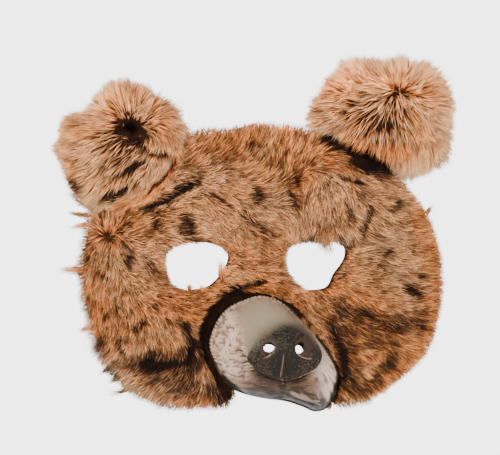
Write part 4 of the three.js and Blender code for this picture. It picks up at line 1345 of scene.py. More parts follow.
@dataclass(frozen=True)
class FurCloth:
    """The face's fur cloth: its skin, the hair of its three regions and its single tufts.

    Args:
        base: Distance of the skin's inner side in front of the backing's inner side.
        skin: Thickness of the skin.
        edge_skin: Thickness of the skin at its edge.
        unevenness: Height of its soft unevenness.
        spacing: Distance between hairs.
        length: Usual length of a hair.
        cell: Size of the skin's mesh cells.
        coat: How the hair lies.
        wisp_coat: How the hair of the single tufts lies.
    """

    base: float = 2.3 * MM
    skin: float = 3.6 * MM
    edge_skin: float = 0.9 * MM
    unevenness: float = 1.0 * MM
    spacing: float = 0.535 * MM
    length: float = 7.6 * MM
    cell: float = 2.2 * MM
    coat: Coat = Coat()
    wisp_coat: Coat = Coat(width=0.3 * MM, rise=(10.0, 30.0), stray=0.1, gather=0.62)

    def skin_front(self, x: Array, z: Array, depth: Array) -> Array:
        """Distance of the skin's outer side from the backing: less at the edge, moved by the folds.

        Args:
            x: Places along X.
            z: Places along Z.
            depth: Distances inside the panel's edge.

        Returns:
            One distance for each place.
        """
        within = smoothstep(depth, 0.0, 9 * MM)
        places = on_plane(x, z)
        moved = FOLDS.total(x, z) + self.unevenness * layered_noise(places, 13 * MM, 71)
        cloth = self.edge_skin + within * (self.skin - self.edge_skin + moved)
        return self.base + np.maximum(cloth, 0.6 * MM)

    def build_skin(self) -> bpy.types.Object:
        """Builds the cloth under the hair.

        Returns:
            The object.
        """
        return cut_sheet(
            "fur_skin", self.cell, lambda x, z: panel_depth(x, z, 0.4 * MM) - 0.6 * MM,
            lambda x, z, depth: FACE.front(x, z, self.skin_front(x, z, depth)),
            lambda x, z, depth: FACE.front(x, z, self.base),
        )

    def rooted(self, x: Array, z: Array) -> tuple[Array, Array]:
        """Roots on the skin's outer side, and its normals by differences.

        Args:
            x: Places along X.
            z: Places along Z.

        Returns:
            The roots and the normals.
        """
        step = 0.8 * MM

        def outer(at_x: Array, at_z: Array) -> Array:
            """Y of the skin's outer side."""
            inside = np.maximum(panel_depth(at_x, at_z), 0.0)
            return FACE.front(at_x, at_z, self.skin_front(at_x, at_z, inside))

        y = outer(x, z)
        along_x = np.stack([np.full(len(x), step), outer(x + step, z) - y, np.zeros(len(x))], axis=1)
        along_z = np.stack([np.zeros(len(x)), outer(x, z + step) - y, np.full(len(x), step)], axis=1)
        return np.stack([x, y, z], axis=1), unit(np.cross(along_x, along_z))

    def tones(self, roots: Array, seed: int) -> tuple[Array, Array]:
        """Darkness and warmth of hairs seen at these places: drawn marks and painted shade, broken by
        streaks.

        Args:
            roots: Places of the roots.
            seed: Chooses the random numbers.

        Returns:
            Darkness and warmth, a number of each for every hair.
        """
        x, z = roots[:, 0], roots[:, 2]
        rng = np.random.default_rng(seed)
        broken = layered_noise(roots, 4.5 * MM, seed + 3)
        fine = lattice_noise(roots, 1.3 * MM, seed + 9)
        streaky = grain(*photo_place(x, z), 25.0, 5.0, 2.2, seed + 5)
        drawn = DARK_MARKS_AND_SHADOWS.cover(x, z)
        marks = smoothstep(drawn * 1.25 + 0.3 * broken + 0.3 * fine, 0.34, 0.62)
        speckled = smoothstep(0.55 * broken + 0.5 * fine + 0.45 * streaky, 0.16, 0.46)
        marks = np.maximum(marks, speckled * (0.85 - 0.6 * PALE_MARKS.cover(x, z)))
        single = rng.uniform(size=len(x)) < 0.15
        marks = np.where(single & (marks < 0.5), 0.8, np.where(single & (drawn < 0.9), 0.25, marks))
        warmth = WARM_MARKS.cover(x, z) * (1.0 - 0.8 * PALE_MARKS.cover(x, z)) + 0.1
        warmth += 0.3 * lattice_noise(roots, 8 * MM, seed + 4) + rng.normal(0.0, 0.18, len(x))
        marks = marks * np.where(drawn > 0.9, 1.0, rng.uniform(0.8, 1.0, len(x)))
        # Painted shade: hair in the turned-in edge round the muzzle goes near black.
        for band in TURNED_IN:
            depth = band.depth(x, z) + (0.6 * fine + 1.1 * streaky) * MM
            marks = np.maximum(marks, smoothstep(depth, -1.4 * MM, 0.2 * MM))
        return marks, np.clip(warmth, 0.0, 1.0)

    def flows(self, roots: Array, normals: Array, seed: int) -> Array:
        """The comb's directions, swirled a little, and turned out over the panel's edges.

        Args:
            roots: Places of the roots.
            normals: Normals at the roots.
            seed: Chooses the random numbers.

        Returns:
            One direction for each hair.
        """
        x, z = roots[:, 0], roots[:, 2]
        flat = FACE_COMB.at(x, z)
        flow = unit(on_plane(*flat.T) + 0.3 * tousle(roots, 4 * MM, seed))
        swirl = 0.45 * lattice_noise(roots, 9 * MM, seed + 1) + 0.4 * lattice_noise(roots, 3.6 * MM, seed + 8)
        flow = unit(flow + swirl[:, None] * np.cross(flow, normals))
        outwards, strength = edge_pull(x, z)
        return unit(flow + outwards * strength[:, None])

    def build_hair(self, region: Region) -> bpy.types.Object:
        """Roots the hair of one region over a jittered lattice and grows it.

        Hair is shorter at the edges and round the muzzle, and where its tip would reach into an eye.

        Args:
            region: The region.

        Returns:
            The region's hair as one piece.
        """
        name, low_px, high_px = region.value
        seed = 100 + 20 * list(Region).index(region)
        reach = PANEL_HALF_WIDTH * 1.05
        low, high = max(photo_x(low_px), -reach), min(photo_x(high_px), reach)
        spots = scatter_points((low, -PANEL_HEIGHT * 0.53), (high, PANEL_HEIGHT * 0.5), self.spacing, seed)
        x, z = spots[:, 0], spots[:, 1]
        depth = panel_depth(x, z)
        keep = (depth > 0.8 * MM) & (x < high)
        for ear in (LEFT_EAR, RIGHT_EAR):
            keep &= ear.outline.depth(x, z) < 2.5 * MM
        x, z, depth = x[keep], z[keep], depth[keep]
        roots, normals = self.rooted(x, z)
        flow = self.flows(roots, normals, seed)
        rng = np.random.default_rng(seed + 2)
        uneven = 1 + 0.22 * lattice_noise(roots, 10 * MM, seed + 6)
        lengths = self.length * rng.uniform(0.6, 1.15, len(x)) * uneven
        lengths *= 1.0 - 0.3 * smoothstep(-MUZZLE_RIM.depth(x, z), 8 * MM, 0.0)
        lengths *= 0.75 + 0.25 * smoothstep(depth, 1 * MM, 8 * MM)
        lengths *= 1.0 - 0.35 * neat_edge(x) * smoothstep(depth, 7 * MM, 1 * MM)
        for band in TURNED_IN:
            lengths *= 1.0 - 0.55 * smoothstep(band.depth(x, z), 0.0, 1.5 * MM)
        for _ in range(3):
            tip = roots + flow * lengths[:, None] * 0.9
            for eye in (LEFT_EYE, RIGHT_EYE):
                lengths *= np.where(eye.depth(tip[:, 0], tip[:, 2]) > 0.7 * MM, 0.6, 1.0)
            for band in TURNED_IN:
                lengths *= np.where(band.depth(tip[:, 0], tip[:, 2]) > 1.2 * MM, 0.75, 1.0)
        marks, warmth = self.tones(roots + 0.5 * lengths[:, None] * flow, seed)
        return Strands(roots, normals, flow, lengths, marks, warmth, self.coat, seed + 7).grow(name)

    def build_wisps(self) -> bpy.types.Object:
        """Grows the single tufts: the hairs of each root close together and meet at its tip.

        Returns:
            The object.
        """
        rng = np.random.default_rng(90)
        tuft = np.repeat(np.arange(len(WISPS)), [wisp.hairs for wisp in WISPS])
        wisps = [(w.px, w.py, math.radians(w.turn), w.length, w.spread, w.mark) for w in WISPS]
        table = np.array(wisps)[tuft]
        spread = rng.normal(0.0, 0.5, (len(tuft), 2)) * table[:, 4:5]
        x, z = photo_x(table[:, 0] + spread[:, 0]), photo_z(table[:, 1] + spread[:, 1])
        roots, normals = self.rooted(x, z)
        turn = table[:, 2] + rng.normal(0.0, 0.09, len(tuft))
        flow = on_plane(np.cos(turn), np.sin(turn))
        lengths = table[:, 3] * PIXEL * rng.uniform(0.45, 1.05, len(x)) ** 0.8
        marks, warmth = self.tones(roots, 91)
        marks = np.where(table[:, 5] > 0.1, table[:, 5], marks * 0.3)
        strands = Strands(roots, normals, flow, lengths, marks, warmth, self.wisp_coat, 92, tuft)
        return strands.grow("fur_tufts")


def neat_edge(x: Array) -> Array:
    """1 at the panel's right edge, where the hair lies close and short, and 0 over the rest."""
    return smoothstep(x, NEAT_FROM, NEAT_TO)


def edge_pull(x: Array, z: Array) -> tuple[Array, Array]:
    """Direction out over the nearest outer edge of the panel, and how strongly the hair turns that way.

    Args:
        x: Places along X.
        z: Places along Z.

    Returns:
        Direction out over the nearest outer edge, and how strongly the hair turns that way.
    """
    step = 0.5 * MM
    depth = PANEL.depth(x, z)
    slope_x = (PANEL.depth(x + step, z) - depth) / step
    slope_z = (PANEL.depth(x, z + step) - depth) / step
    out = unit(on_plane(-slope_x, -slope_z))
    near_mouth = smoothstep(-MUZZLE_RIM.depth(x, z), 3 * MM, 12 * MM)
    return out, (1.3 - 0.9 * neat_edge(x)) * smoothstep(depth, 9 * MM, 0.0) * near_mouth


def cut_sheet(name: str, cell: float, depth_of: Callable[..., Array], outer_of: Callable[..., Array],
              inner_of: Callable[..., Array]) -> bpy.types.Object:
    """Builds a closed cloth sheet with smooth edges and openings.

    A square lattice in X and Z keeps the cells whose middle lies on the cloth, and the vertices at its
    ragged edge move along the slope of the distance onto the edge line. The sheet is doubled, outer and
    inner side, and a band of quads closes it round every edge.

    Args:
        name: Name of the piece.
        cell: Size of a lattice cell.
        depth_of: Gives the distance inside the cloth at places x and z.
        outer_of: Gives Y of the outer side at x, z and that distance.
        inner_of: Gives Y of the inner side.

    Returns:
        The new object.
    """
    across = np.arange(-PANEL_HALF_WIDTH * 1.06, PANEL_HALF_WIDTH * 1.06, cell)
    up = np.arange(-PANEL_HEIGHT * 0.54, PANEL_HEIGHT * 0.52, cell)
    x, z = (grid.ravel() for grid in np.meshgrid(across, up))
    column, row = np.meshgrid(np.arange(len(across) - 1), np.arange(len(up) - 1))
    corner = (row * len(across) + column).ravel()
    quads = np.stack([corner, corner + 1, corner + 1 + len(across), corner + len(across)], axis=1)
    middle_depth = depth_of(x[quads].mean(axis=1), z[quads].mean(axis=1))
    quads = quads[middle_depth > 0.0]
    used, quads = np.unique(quads, return_inverse=True)
    quads = quads.reshape(-1, 4)
    x, z = x[used], z[used]
    border = border_of(quads)
    rim = np.unique(border)
    step = 0.3 * MM
    for _ in range(3):
        depth = depth_of(x[rim], z[rim])
        slope_x = (depth_of(x[rim] + step, z[rim]) - depth_of(x[rim] - step, z[rim])) / (2 * step)
        slope_z = (depth_of(x[rim], z[rim] + step) - depth_of(x[rim], z[rim] - step)) / (2 * step)
        steep = np.maximum(slope_x**2 + slope_z**2, 0.25)
        x[rim] -= depth * slope_x / steep
        z[rim] -= depth * slope_z / steep
    depth = np.maximum(depth_of(x, z), 0.0)
    outer = np.stack([x, outer_of(x, z, depth), z], axis=1)
    inner = np.stack([x, inner_of(x, z, depth), z], axis=1)
    count = len(x)
    band = np.stack([border[:, 1], border[:, 0], border[:, 0] + count, border[:, 1] + count], axis=1)
    faces = np.concatenate([quads, quads[:, ::-1] + count, band])
    return make_object(name, np.concatenate([outer, inner]), faces)


@dataclass
class Backing:
    """The pale felt behind the fur cloth.

    Args:
        inset: How far its edge stays inside the fur's.
        thickness: Thickness of the felt.
        cell: Size of its mesh cells.
        ripple: Height of its slight waves.
    """

    inset: float = 2.5 * MM
    thickness: float = 1.9 * MM
    cell: float = 2.0 * MM
    ripple: float = 0.35 * MM

    def build(self) -> bpy.types.Object:
        """Builds the felt with slight waves on both sides, inside the solid that it stands for.

        Returns:
            The object.
        """
        def waves(x: Array, z: Array) -> Array:
            """Height of the felt's waves."""
            return self.ripple * layered_noise(on_plane(x, z), 16 * MM, 41)

        def depth(x: Array, z: Array) -> Array:
            """Distance inside the felt's edge.

            Args:
                x: Places along X.
                z: Places along Z.

            Returns:
                One distance for each place.
            """
            sewn = -MUZZLE_RIM.depth(x, z) - 1.8 * MM
            return np.minimum.reduce([panel_depth(x, z, 1.0 * MM), PANEL.depth(x, z) - self.inset, sewn])

        return cut_sheet(
            "felt_backing", self.cell, depth,
            lambda x, z, inside: FACE.front(x, z, self.thickness) + np.abs(waves(x, z)) * 0.3,
            lambda x, z, inside: FACE.front(x, z, 0.15 * MM) + waves(x, z),
        )


@dataclass
class Ear:
    """One stuffed ear: a pouch with its hair.

    Args:
        side: Word for the ear's side in the pieces' names.
        outline: Its outline about its middle.
        thickness: Thickness of the pouch.
        lean: How its depth changes along X.
        swirl_px: Column of the place that the hair parts from.
        swirl_py: Row of that place.
        length: Usual length of a hair.
        hairs: How many hairs it has.
        relief: What rises or sinks on its front, in metres.
        marks: Its dark marks, with painted shade in its hollows and grooves and under its lower edge.
        warm: Its orange marks.
        comb: Strokes that lead the hair besides its swirl.
        swirled: How much the swirl counts beside the comb.
        speckle: Darkness of the small dark flecks.
        spikes: Tufts that stand out.
        seed: Chooses the random numbers.
        coat: How the hair lies.
        rings: Rings of the pouch.
        sides: Places round each ring.
        levels: Levels of the first and the last ring.
    """

    side: str
    outline: Outline
    thickness: float
    lean: float
    swirl_px: float
    swirl_py: float
    length: float
    hairs: int
    relief: Drawing
    marks: Drawing
    warm: Drawing
    comb: Comb
    swirled: float
    speckle: float
    spikes: tuple[Wisp, ...]
    seed: int
    coat: Coat = Coat(width=0.36 * MM, rise=(20.0, 50.0), stray=0.2, clump=2.6 * MM, gather=0.72, lock=7 * MM,
                      tone=0.16)
    rings: int = 44
    sides: int = 96
    levels: tuple[float, float] = (0.02, 1.98)

    def middle_y(self, x: Array) -> Array:
        """Y of the pouch's middle plane, as the frame's solid has it.

        Args:
            x: Places along X.

        Returns:
            One Y for each place.
        """
        centre_x, centre_z = self.outline.centre
        depth = panel_depth(np.array([centre_x]), np.array([centre_z]))[0]
        pile = 3 * MM + 4 * MM * smoothstep(np.array([abs(depth)]), 0.0, 15 * MM)[0]
        base = FACE.front(np.array([centre_x]), np.array([centre_z]), 2.3 * MM + pile)[0] + 2 * MM
        return base + self.lean * (x - centre_x)

    def surface(self, turn: Array, level: Array) -> Array:
        """Places on the pouch.

        A level from 0, the front pole, over 1, the rim, to 2, the back pole: the outline shrinks by the
        sine of the level's quarter turns to the power 0.75, and the depth is its cosine. Dents and soft
        noise move the front.

        Args:
            turn: Share of the way round.
            level: The level.

        Returns:
            One place a row.
        """
        angle = level * math.pi / 2
        spread = np.sin(np.clip(angle, 0, math.pi)) ** 0.75
        shares = self.outline.at(turn % 1.0)
        centre_x, centre_z = self.outline.centre
        x = centre_x + shares[:, 0] * self.outline.size[0] * spread
        z = centre_z + shares[:, 1] * self.outline.size[1] * spread
        y = self.middle_y(x) - self.thickness / 2 * np.cos(angle)
        y -= smoothstep(np.cos(angle), -0.1, 0.4) * self.relief.total(x, z)
        places = np.stack([x, y, z], axis=1)
        places[:, 1] += 1.2 * MM * layered_noise(places, 14 * MM, self.seed)
        return places

    def seated(self, places: Array) -> Array:
        """Keeps the places in front of the fur's backing where the panel lies behind the ear.

        Args:
            places: Rows of X, Y and Z.

        Returns:
            The places, moved where that is needed.
        """
        x, z = places[:, 0], places[:, 2]
        inside = PANEL.depth(x, z)
        limit = FACE.front(x, z, 2.7 * MM)
        pressed = np.where(inside > -0.5 * MM, np.minimum(places[:, 1], limit), places[:, 1])
        return np.stack([x, pressed, z], axis=1)

    def normals(self, turn: Array, level: Array) -> Array:
        """Outward normals by differences of the surface along both ways.

        Args:
            turn: Turns from 0 to 1.
            level: Levels of the pouch's rings.

        Returns:
            One normal for each place.
        """
        step = 0.004
        around = self.surface(turn + step, level) - self.surface(turn - step, level)
        over = self.surface(turn, level + step) - self.surface(turn, level - step)
        normal = unit(np.cross(over, around))
        centre = np.array([self.outline.centre[0], 0.0, self.outline.centre[1]])
        outwards = self.surface(turn, level) - centre
        outwards[:, 1] = -np.cos(level * math.pi / 2) * self.thickness
        flip = np.sign((normal * outwards).sum(axis=1, keepdims=True))
        return normal * np.where(flip == 0, 1.0, flip)

    def build_pouch(self) -> bpy.types.Object:
        """Builds the pouch: rings from pole to pole, each pole closed by triangles.

        Returns:
            The object.
        """
        levels = np.linspace(*self.levels, self.rings)
        turns = np.arange(self.sides) / self.sides
        level, turn = (grid.ravel() for grid in np.meshgrid(levels, turns, indexing="ij"))
        places = self.seated(self.surface(turn, level))
        poles = self.seated(self.surface(np.zeros(2), np.array([0.0, 2.0])))
        places = np.concatenate([places, poles])
        quads = ring_faces(self.rings, self.sides)
        caps = pole_fans(self.sides, (self.rings - 1) * self.sides, len(places) - 2, len(places) - 1)
        if not self.runs_left():
            quads, caps = quads[:, ::-1], caps[:, ::-1]
        return make_object(f"ear_{self.side}_pouch", places, [quads, caps])

    def runs_left(self) -> bool:
        """Tells whether the outline runs counter-clockwise as seen from the front.

        Returns:
            True where it runs counter-clockwise.
        """
        points = self.outline.points()
        following = np.roll(points, -1, axis=0)
        return float((points[:, 0] * following[:, 1] - following[:, 0] * points[:, 1]).sum()) > 0.0

    def tones(self, seen: Array, level: Array, rng: np.random.Generator) -> tuple[Array, Array]:
        """Darkness and warmth of hairs that are seen at these places.

        Args:
            seen: Places where the hairs are seen.
            level: Levels of the pouch's rings.
            rng: Draws the random numbers.

        Returns:
            Darkness and warmth, a number of each for every hair.
        """
        x, z = seen[:, 0], seen[:, 2]
        broken = layered_noise(seen, 5 * MM, self.seed + 3)
        fine = lattice_noise(seen, 1.5 * MM, self.seed + 9)
        marks = smoothstep(self.marks.cover(x, z) * 1.25 + 0.3 * broken + 0.25 * fine, 0.34, 0.66)
        marks = np.maximum(marks, self.speckle * smoothstep(0.6 * broken + 0.5 * fine, 0.3, 0.6))
        back = smoothstep(level, 1.1, 1.5)
        marks = np.maximum(marks * (1 - back), (rng.uniform(size=len(x)) < 0.1) * 0.7)
        px, py = photo_place(x, z)
        for spike in self.spikes:
            near = spike.nearness(px, py)
            marks = np.maximum(marks, near * spike.mark)
        warmth = self.warm.cover(x, z) + 0.2 * lattice_noise(seen, 9 * MM, self.seed + 4)
        return marks, np.clip(warmth + rng.normal(0, 0.12, len(x)), 0, 1)

    def build_hair(self) -> bpy.types.Object:
        """Builds the hair: it leaves the swirl all ways, and follows the comb where that is near.

        Returns:
            The object.
        """
        rng = np.random.default_rng(self.seed + 1)
        tries = self.hairs * 3
        turn = rng.uniform(0, 1, tries)
        level = np.arccos(rng.uniform(-0.95, 1.0, tries)) / (math.pi / 2)
        crest = self.warm.cover(*self.surface(turn, level)[:, [0, 2]].T)
        roots = self.surface(turn, level)
        x, z = roots[:, 0], roots[:, 2]
        hidden = (PANEL.depth(x, z) > 1 * MM) & (roots[:, 1] > FACE.front(x, z, 3.2 * MM))
        weight = np.linalg.norm(np.stack([
            (x - self.outline.centre[0]) / self.outline.size[0],
            (z - self.outline.centre[1]) / self.outline.size[1],
        ]), axis=0)
        dense = np.where(level > 1.15, 0.3, np.minimum(0.36 + 0.3 * weight + 0.5 * crest, 1.0))
        keep = ~hidden & (rng.uniform(size=tries) < dense)
        chosen = np.flatnonzero(keep)[: self.hairs]
        turn, level, roots = turn[chosen], level[chosen], roots[chosen]
        x, z = roots[:, 0], roots[:, 2]
        normals = self.normals(turn, level)
        away = on_plane(x - photo_x(self.swirl_px), z - photo_z(self.swirl_py))
        near = smoothstep(np.linalg.norm(away, axis=1), 9 * MM, 0.0)[:, None]
        flat = self.comb.at(x, z)
        led = on_plane(*flat.T)
        out = on_plane(x - self.outline.centre[0], z - self.outline.centre[1])
        rim = smoothstep(level, 0.62, 0.95)[:, None]
        led += 0.35 * tousle(roots, 4.5 * MM, self.seed)
        free = smoothstep(PANEL.depth(x, z), 8 * MM, -2 * MM)[:, None]
        flow = led + self.swirled * (1 - near) * unit(away) + 1.1 * rim * free * unit(out)
        flow = unit(flow + self.swirled * near * rng.normal(0.0, 0.5, (len(x), 3)))
        coarse = lattice_noise(roots, 12 * MM, self.seed + 2)
        swirl = 0.4 * coarse + 0.3 * lattice_noise(roots, 5 * MM, self.seed + 7)
        flow = unit(flow + swirl[:, None] * np.cross(flow, normals))
        lengths = self.length * rng.uniform(0.65, 1.1, len(x)) * (1 + 0.25 * lattice_noise(
            roots, 11 * MM, self.seed + 5))
        lengths *= 1 + 0.45 * rim[:, 0] * lattice_noise(roots, 3.2 * MM, self.seed + 10)
        lengths *= 1 - 0.35 * smoothstep(-self.relief.total(x, z), 2.5 * MM, 7 * MM)
        lengths *= 1 - rim[:, 0] * (0.3 + 0.3 * (1 - free[:, 0]))
        px, py = photo_place(x, z)
        for spike in self.spikes:
            near = spike.nearness(px, py)
            way = np.array([math.cos(math.radians(spike.turn)), 0.0, math.sin(math.radians(spike.turn))])
            flow = unit(flow + 3.0 * near[:, None] * way)
            lengths += near * (spike.length * PIXEL * rng.uniform(0.7, 1.0, len(x)) - lengths)
        marks, warmth = self.tones(roots + 0.45 * lengths[:, None] * flow, level, rng)
        strands = Strands(roots, normals, flow, lengths, marks, warmth, self.coat, self.seed + 6)
        return strands.grow(f"ear_{self.side}_hair")


LEFT_EAR = Ear(
    side="left",
    outline=Outline(
        rows=(
            (-0.11, 1.08), (-0.36, 0.92), (-0.55, 0.62), (-0.90, 0.45), (-0.94, 0.25), (-1.08, 0.00),
            (-0.93, -0.28), (-0.78, -0.59), (-0.59, -0.85), (-0.20, -1.06), (0.20, -1.00), (0.52, -0.85),
            (0.75, -0.61), (0.91, -0.27), (0.97, 0.06), (0.90, 0.35), (0.66, 0.65), (0.28, 0.90),
        ),
        size=(34 * MM, 32 * MM),
        centre=(-75 * MM, 65 * MM),
    ),
    thickness=30 * MM,
    lean=-0.25,
    swirl_px=130, swirl_py=131,
    length=9.5 * MM,
    hairs=26000,
    relief=Drawing((
        Stroke(((189, 128), (187, 143), (178, 165), (168, 182), (154, 195), (134, 204), (108, 210)),
               8.0, 6.5 * MM),
        Stroke(((174, 148), (162, 168), (146, 184), (124, 194)), 7.0, -2.2 * MM),
        Stroke(((84, 150), (100, 140), (116, 131), (128, 126), (139, 132), (146, 146)), 5.0, -6.5 * MM),
        Mark(132, 133, 10, 7, 120, -11 * MM), Mark(122, 107, 38, 12, 12, 6.5 * MM),
        Mark(160, 124, 20, 13, 110, 4 * MM), Mark(105, 170, 34, 22, 30, 2.5 * MM),
        Mark(78, 128, 14, 8, 20, 2 * MM),
    )),
    # The oval in the hollow and the strokes along the creases are painted shade; the rest are the fur's own
    # dark patches.
    marks=Drawing((
        Mark(129, 133, 13, 9, 120, 2.4), Stroke(((84, 151), (98, 143), (110, 134), (122, 126)), 3.4, 1.2),
        Stroke(((140, 140), (148, 150), (160, 154), (172, 152)), 3.4, 0.9), Mark(112, 195, 12, 6, 15, 0.75),
        Stroke(((142, 158), (131, 168), (116, 178)), 4.0, 0.8), Mark(80, 182, 11, 6, 130, 0.55),
        Mark(152, 112, 7, 3, 150, 0.6), Mark(76, 160, 8, 3, 100, 0.5), Mark(140, 180, 8, 4, 60, 0.4),
        Mark(128, 186, 8, 3, 200, 0.4),
    )),
    warm=Drawing((
        Stroke(((189, 128), (187, 143), (178, 165), (168, 182), (154, 195), (134, 204), (104, 212)),
               7.5, 1.5),
        Mark(165, 135, 26, 14, 110, 0.6), Mark(75, 165, 34, 10, 100, 0.7), Mark(130, 95, 40, 8, 10, 0.5),
        Mark(110, 110, 22, 9, 20, 0.5), Mark(80, 130, 22, 9, 15, 0.8),
    )),
    comb=Comb((
        (62, 131, 186), (80, 125, 190), (95, 112, 160), (105, 98, 120), (115, 88, 100), (128, 90, 85),
        (142, 98, 40), (158, 100, 10), (172, 110, 330), (184, 128, 300), (118, 105, 125),
        (100, 122, 190), (114, 119, 165), (128, 115, 95), (141, 113, 40), (152, 120, 330),
        (165, 122, 315), (160, 142, 262), (178, 145, 290), (183, 150, 262), (178, 165, 250),
        (168, 180, 235), (154, 192, 220), (138, 201, 205), (116, 207, 190), (100, 210, 185),
        (148, 160, 235), (130, 150, 235), (110, 150, 235), (95, 155, 228), (80, 150, 210),
        (68, 150, 190), (125, 170, 240), (105, 175, 238), (90, 178, 225), (75, 178, 205),
        (145, 180, 235), (125, 190, 235), (100, 195, 230), (85, 195, 215), (70, 165, 195),
    ), reach=11),
    swirled=0.0,
    speckle=0.22,
    spikes=(
        Wisp(82, 122, 190, 26, spread=6.0), Wisp(68, 126, 188, 16, spread=5.0),
        Wisp(62, 148, 172, 15, spread=4.0), Wisp(64, 160, 200, 10, spread=3.5),
        Wisp(72, 180, 205, 13, spread=4.0, mark=0.5), Wisp(82, 192, 215, 13, spread=4.0, mark=0.5),
        Wisp(112, 88, 120, 13, spread=3.0), Wisp(122, 88, 75, 14, spread=2.6),
        Wisp(132, 90, 55, 13, spread=3.0), Wisp(148, 96, 60, 9, spread=3.0),
        Wisp(163, 103, 45, 9, spread=3.0),
    ),
    seed=500,
)

RIGHT_EAR = Ear(
    side="right",
    outline=Outline(
        rows=(
            (-1.00, 0.00), (-0.84, 0.50), (-0.60, 0.90), (-0.37, 1.05), (-0.13, 1.05), (0.05, 0.94),
            (0.26, 1.05), (0.49, 1.00), (0.69, 0.86), (0.86, 0.54), (0.93, 0.25), (0.86, -0.03),
            (0.89, -0.33), (0.86, -0.62), (0.72, -0.84), (0.50, -0.86), (0.13, -0.83), (-0.27, -0.64),
            (-0.81, -0.39),
        ),
        size=(38 * MM, 26 * MM),
        centre=(73 * MM, 83 * MM),
    ),
    thickness=34 * MM,
    lean=0.2,
    swirl_px=393, swirl_py=98,
    length=10.5 * MM,
    coat=Coat(width=0.36 * MM, rise=(18.0, 50.0), stray=0.22, clump=3.0 * MM, gather=0.78, lock=8 * MM,
              tone=0.28),
    hairs=26000,
    relief=Drawing((
        Mark(407, 95, 8, 6, 0, -7 * MM), Stroke(((400, 100), (396, 114), (388, 130)), 5.0, -4.5 * MM),
        Stroke(((402, 108), (412, 120), (420, 134)), 5.0, -3.0 * MM),
        Stroke(((395, 66), (397, 80), (396, 94)), 7.0, -4 * MM),
        Stroke(((366, 82), (354, 96), (344, 112)), 6.0, -3.5 * MM), Mark(352, 76, 26, 12, 30, 4 * MM),
        Mark(430, 88, 24, 15, 80, 4.5 * MM), Mark(372, 112, 22, 18, 40, 3.5 * MM),
        Mark(436, 128, 20, 10, 80, 3 * MM), Mark(330, 112, 18, 12, 20, 2 * MM),
    )),
    # The spots in the dimple and grooves and the stroke along the lower edge are painted shade; the rest are
    # dark fur.
    marks=Drawing((
        Mark(407, 95, 7, 4, 150, 1.4), Mark(390, 129, 7, 4, 20, 1.0),
        Stroke(((402, 110), (398, 122), (392, 132)), 2.6, 0.8),
        Stroke(((404, 112), (412, 120), (417, 128)), 2.4, 0.6), Mark(378, 100, 8, 2.4, 170, 0.5),
        Stroke(((318, 130), (340, 143), (366, 153), (398, 162)), 6.0, 1.5),
        Mark(347, 112, 8, 3, 60, 0.5),
    )),
    warm=Drawing((
        Stroke(((340, 138), (362, 146), (392, 148), (420, 152)), 6.0, 1.4), Mark(335, 90, 26, 18, 40, 0.8),
        Mark(380, 84, 30, 10, 0, 0.7), Mark(430, 95, 14, 12, 0, 0.6), Mark(418, 122, 14, 6, 120, 0.6),
        Mark(425, 140, 18, 6, 10, 0.6), Mark(350, 130, 14, 8, 60, 0.4),
    )),
    comb=Comb((
        (310, 115, 195), (325, 100, 165), (335, 85, 150), (350, 70, 125), (368, 65, 100), (385, 72, 80),
        (400, 75, 80), (418, 66, 75), (436, 74, 50), (448, 90, 20), (454, 105, 5), (450, 125, 340),
        (450, 145, 320), (436, 152, 290), (420, 150, 270), (420, 170, 270), (405, 170, 262),
        (350, 85, 150), (345, 105, 195), (335, 120, 205), (350, 125, 235), (365, 105, 215),
        (378, 115, 240), (370, 130, 255), (385, 135, 262), (395, 120, 255), (405, 130, 275),
        (415, 115, 290), (425, 130, 285), (430, 105, 320), (425, 88, 50), (410, 84, 80), (375, 88, 150),
        (360, 92, 185), (350, 138, 240), (330, 128, 215), (388, 104, 235), (400, 106, 262),
        (392, 92, 190), (408, 98, 300), (376, 96, 215),
    ), reach=11),
    swirled=0.12,
    speckle=0.2,
    spikes=(
        Wisp(410, 148, 268, 30, spread=8.0), Wisp(424, 146, 262, 30, spread=5.0),
        Wisp(446, 104, 350, 14, spread=4.0), Wisp(448, 96, 25, 12, spread=4.0),
        Wisp(318, 116, 190, 13, spread=4.0), Wisp(340, 76, 135, 10, spread=3.0),
        Wisp(371, 68, 70, 12, spread=3.0), Wisp(412, 70, 60, 11, spread=3.0),
        Wisp(446, 138, 320, 13, spread=4.0),
    ),
    seed=700,
)


def grain(px: Array, py: Array, turn: float, long: float, wide: float, seed: int) -> Array:
    """Streaky noise from -1 to 1: lattice noise on coordinates turned and scaled to streaks.

    Args:
        px: Columns of the places.
        py: Rows of the places.
        turn: Way of the streaks in degrees, turning up.
        long: Length of a streak in pixels.
        wide: Width of a streak in pixels.
        seed: Chooses the numbers.

    Returns:
        One number for each place.
    """
    way = math.radians(turn)
    along = (px * math.cos(way) - py * math.sin(way)) / long
    across = (px * math.sin(way) + py * math.cos(way)) / wide
    return lattice_noise(np.stack([along, across, np.zeros(len(px))], axis=1), 1.0, seed)


@dataclass(frozen=True)
class Nostril:
    """An oval bore through the vinyl, in the photograph's pixels.

    Args:
        px: Column of its middle.
        py: Row of its middle.
        wide: Half its width.
        high: Half its height.
        lean: How far its inner end lies aside, in columns and rows.
    """

    px: float
    py: float
    wide: float
    high: float
    lean: tuple[float, float]

    def ratio(self, px: Array, py: Array) -> Array:
        """Distance from the middle as a share of the oval's radius in that direction."""
        return np.hypot((px - self.px) / self.wide, (py - self.py) / self.high)

    def onto_edge(self, x: Array, z: Array, lean: float) -> tuple[Array, Array]:
        """Moves places straight from the middle onto the oval, or onto its inner end with a lean of 1.

        Args:
            x: Places along X.
            z: Places along Z.
            lean: 0 for the oval itself, 1 for its inner end.

        Returns:
            The moved X and Z.
        """
        px, py = photo_place(x, z)
        ratio = self.ratio(px, py) * (1.0 + 0.12 * lean)
        edge_px = self.px + (px - self.px) / ratio + lean * self.lean[0]
        return photo_x(edge_px), photo_z(self.py + (py - self.py) / ratio + lean * self.lean[1])


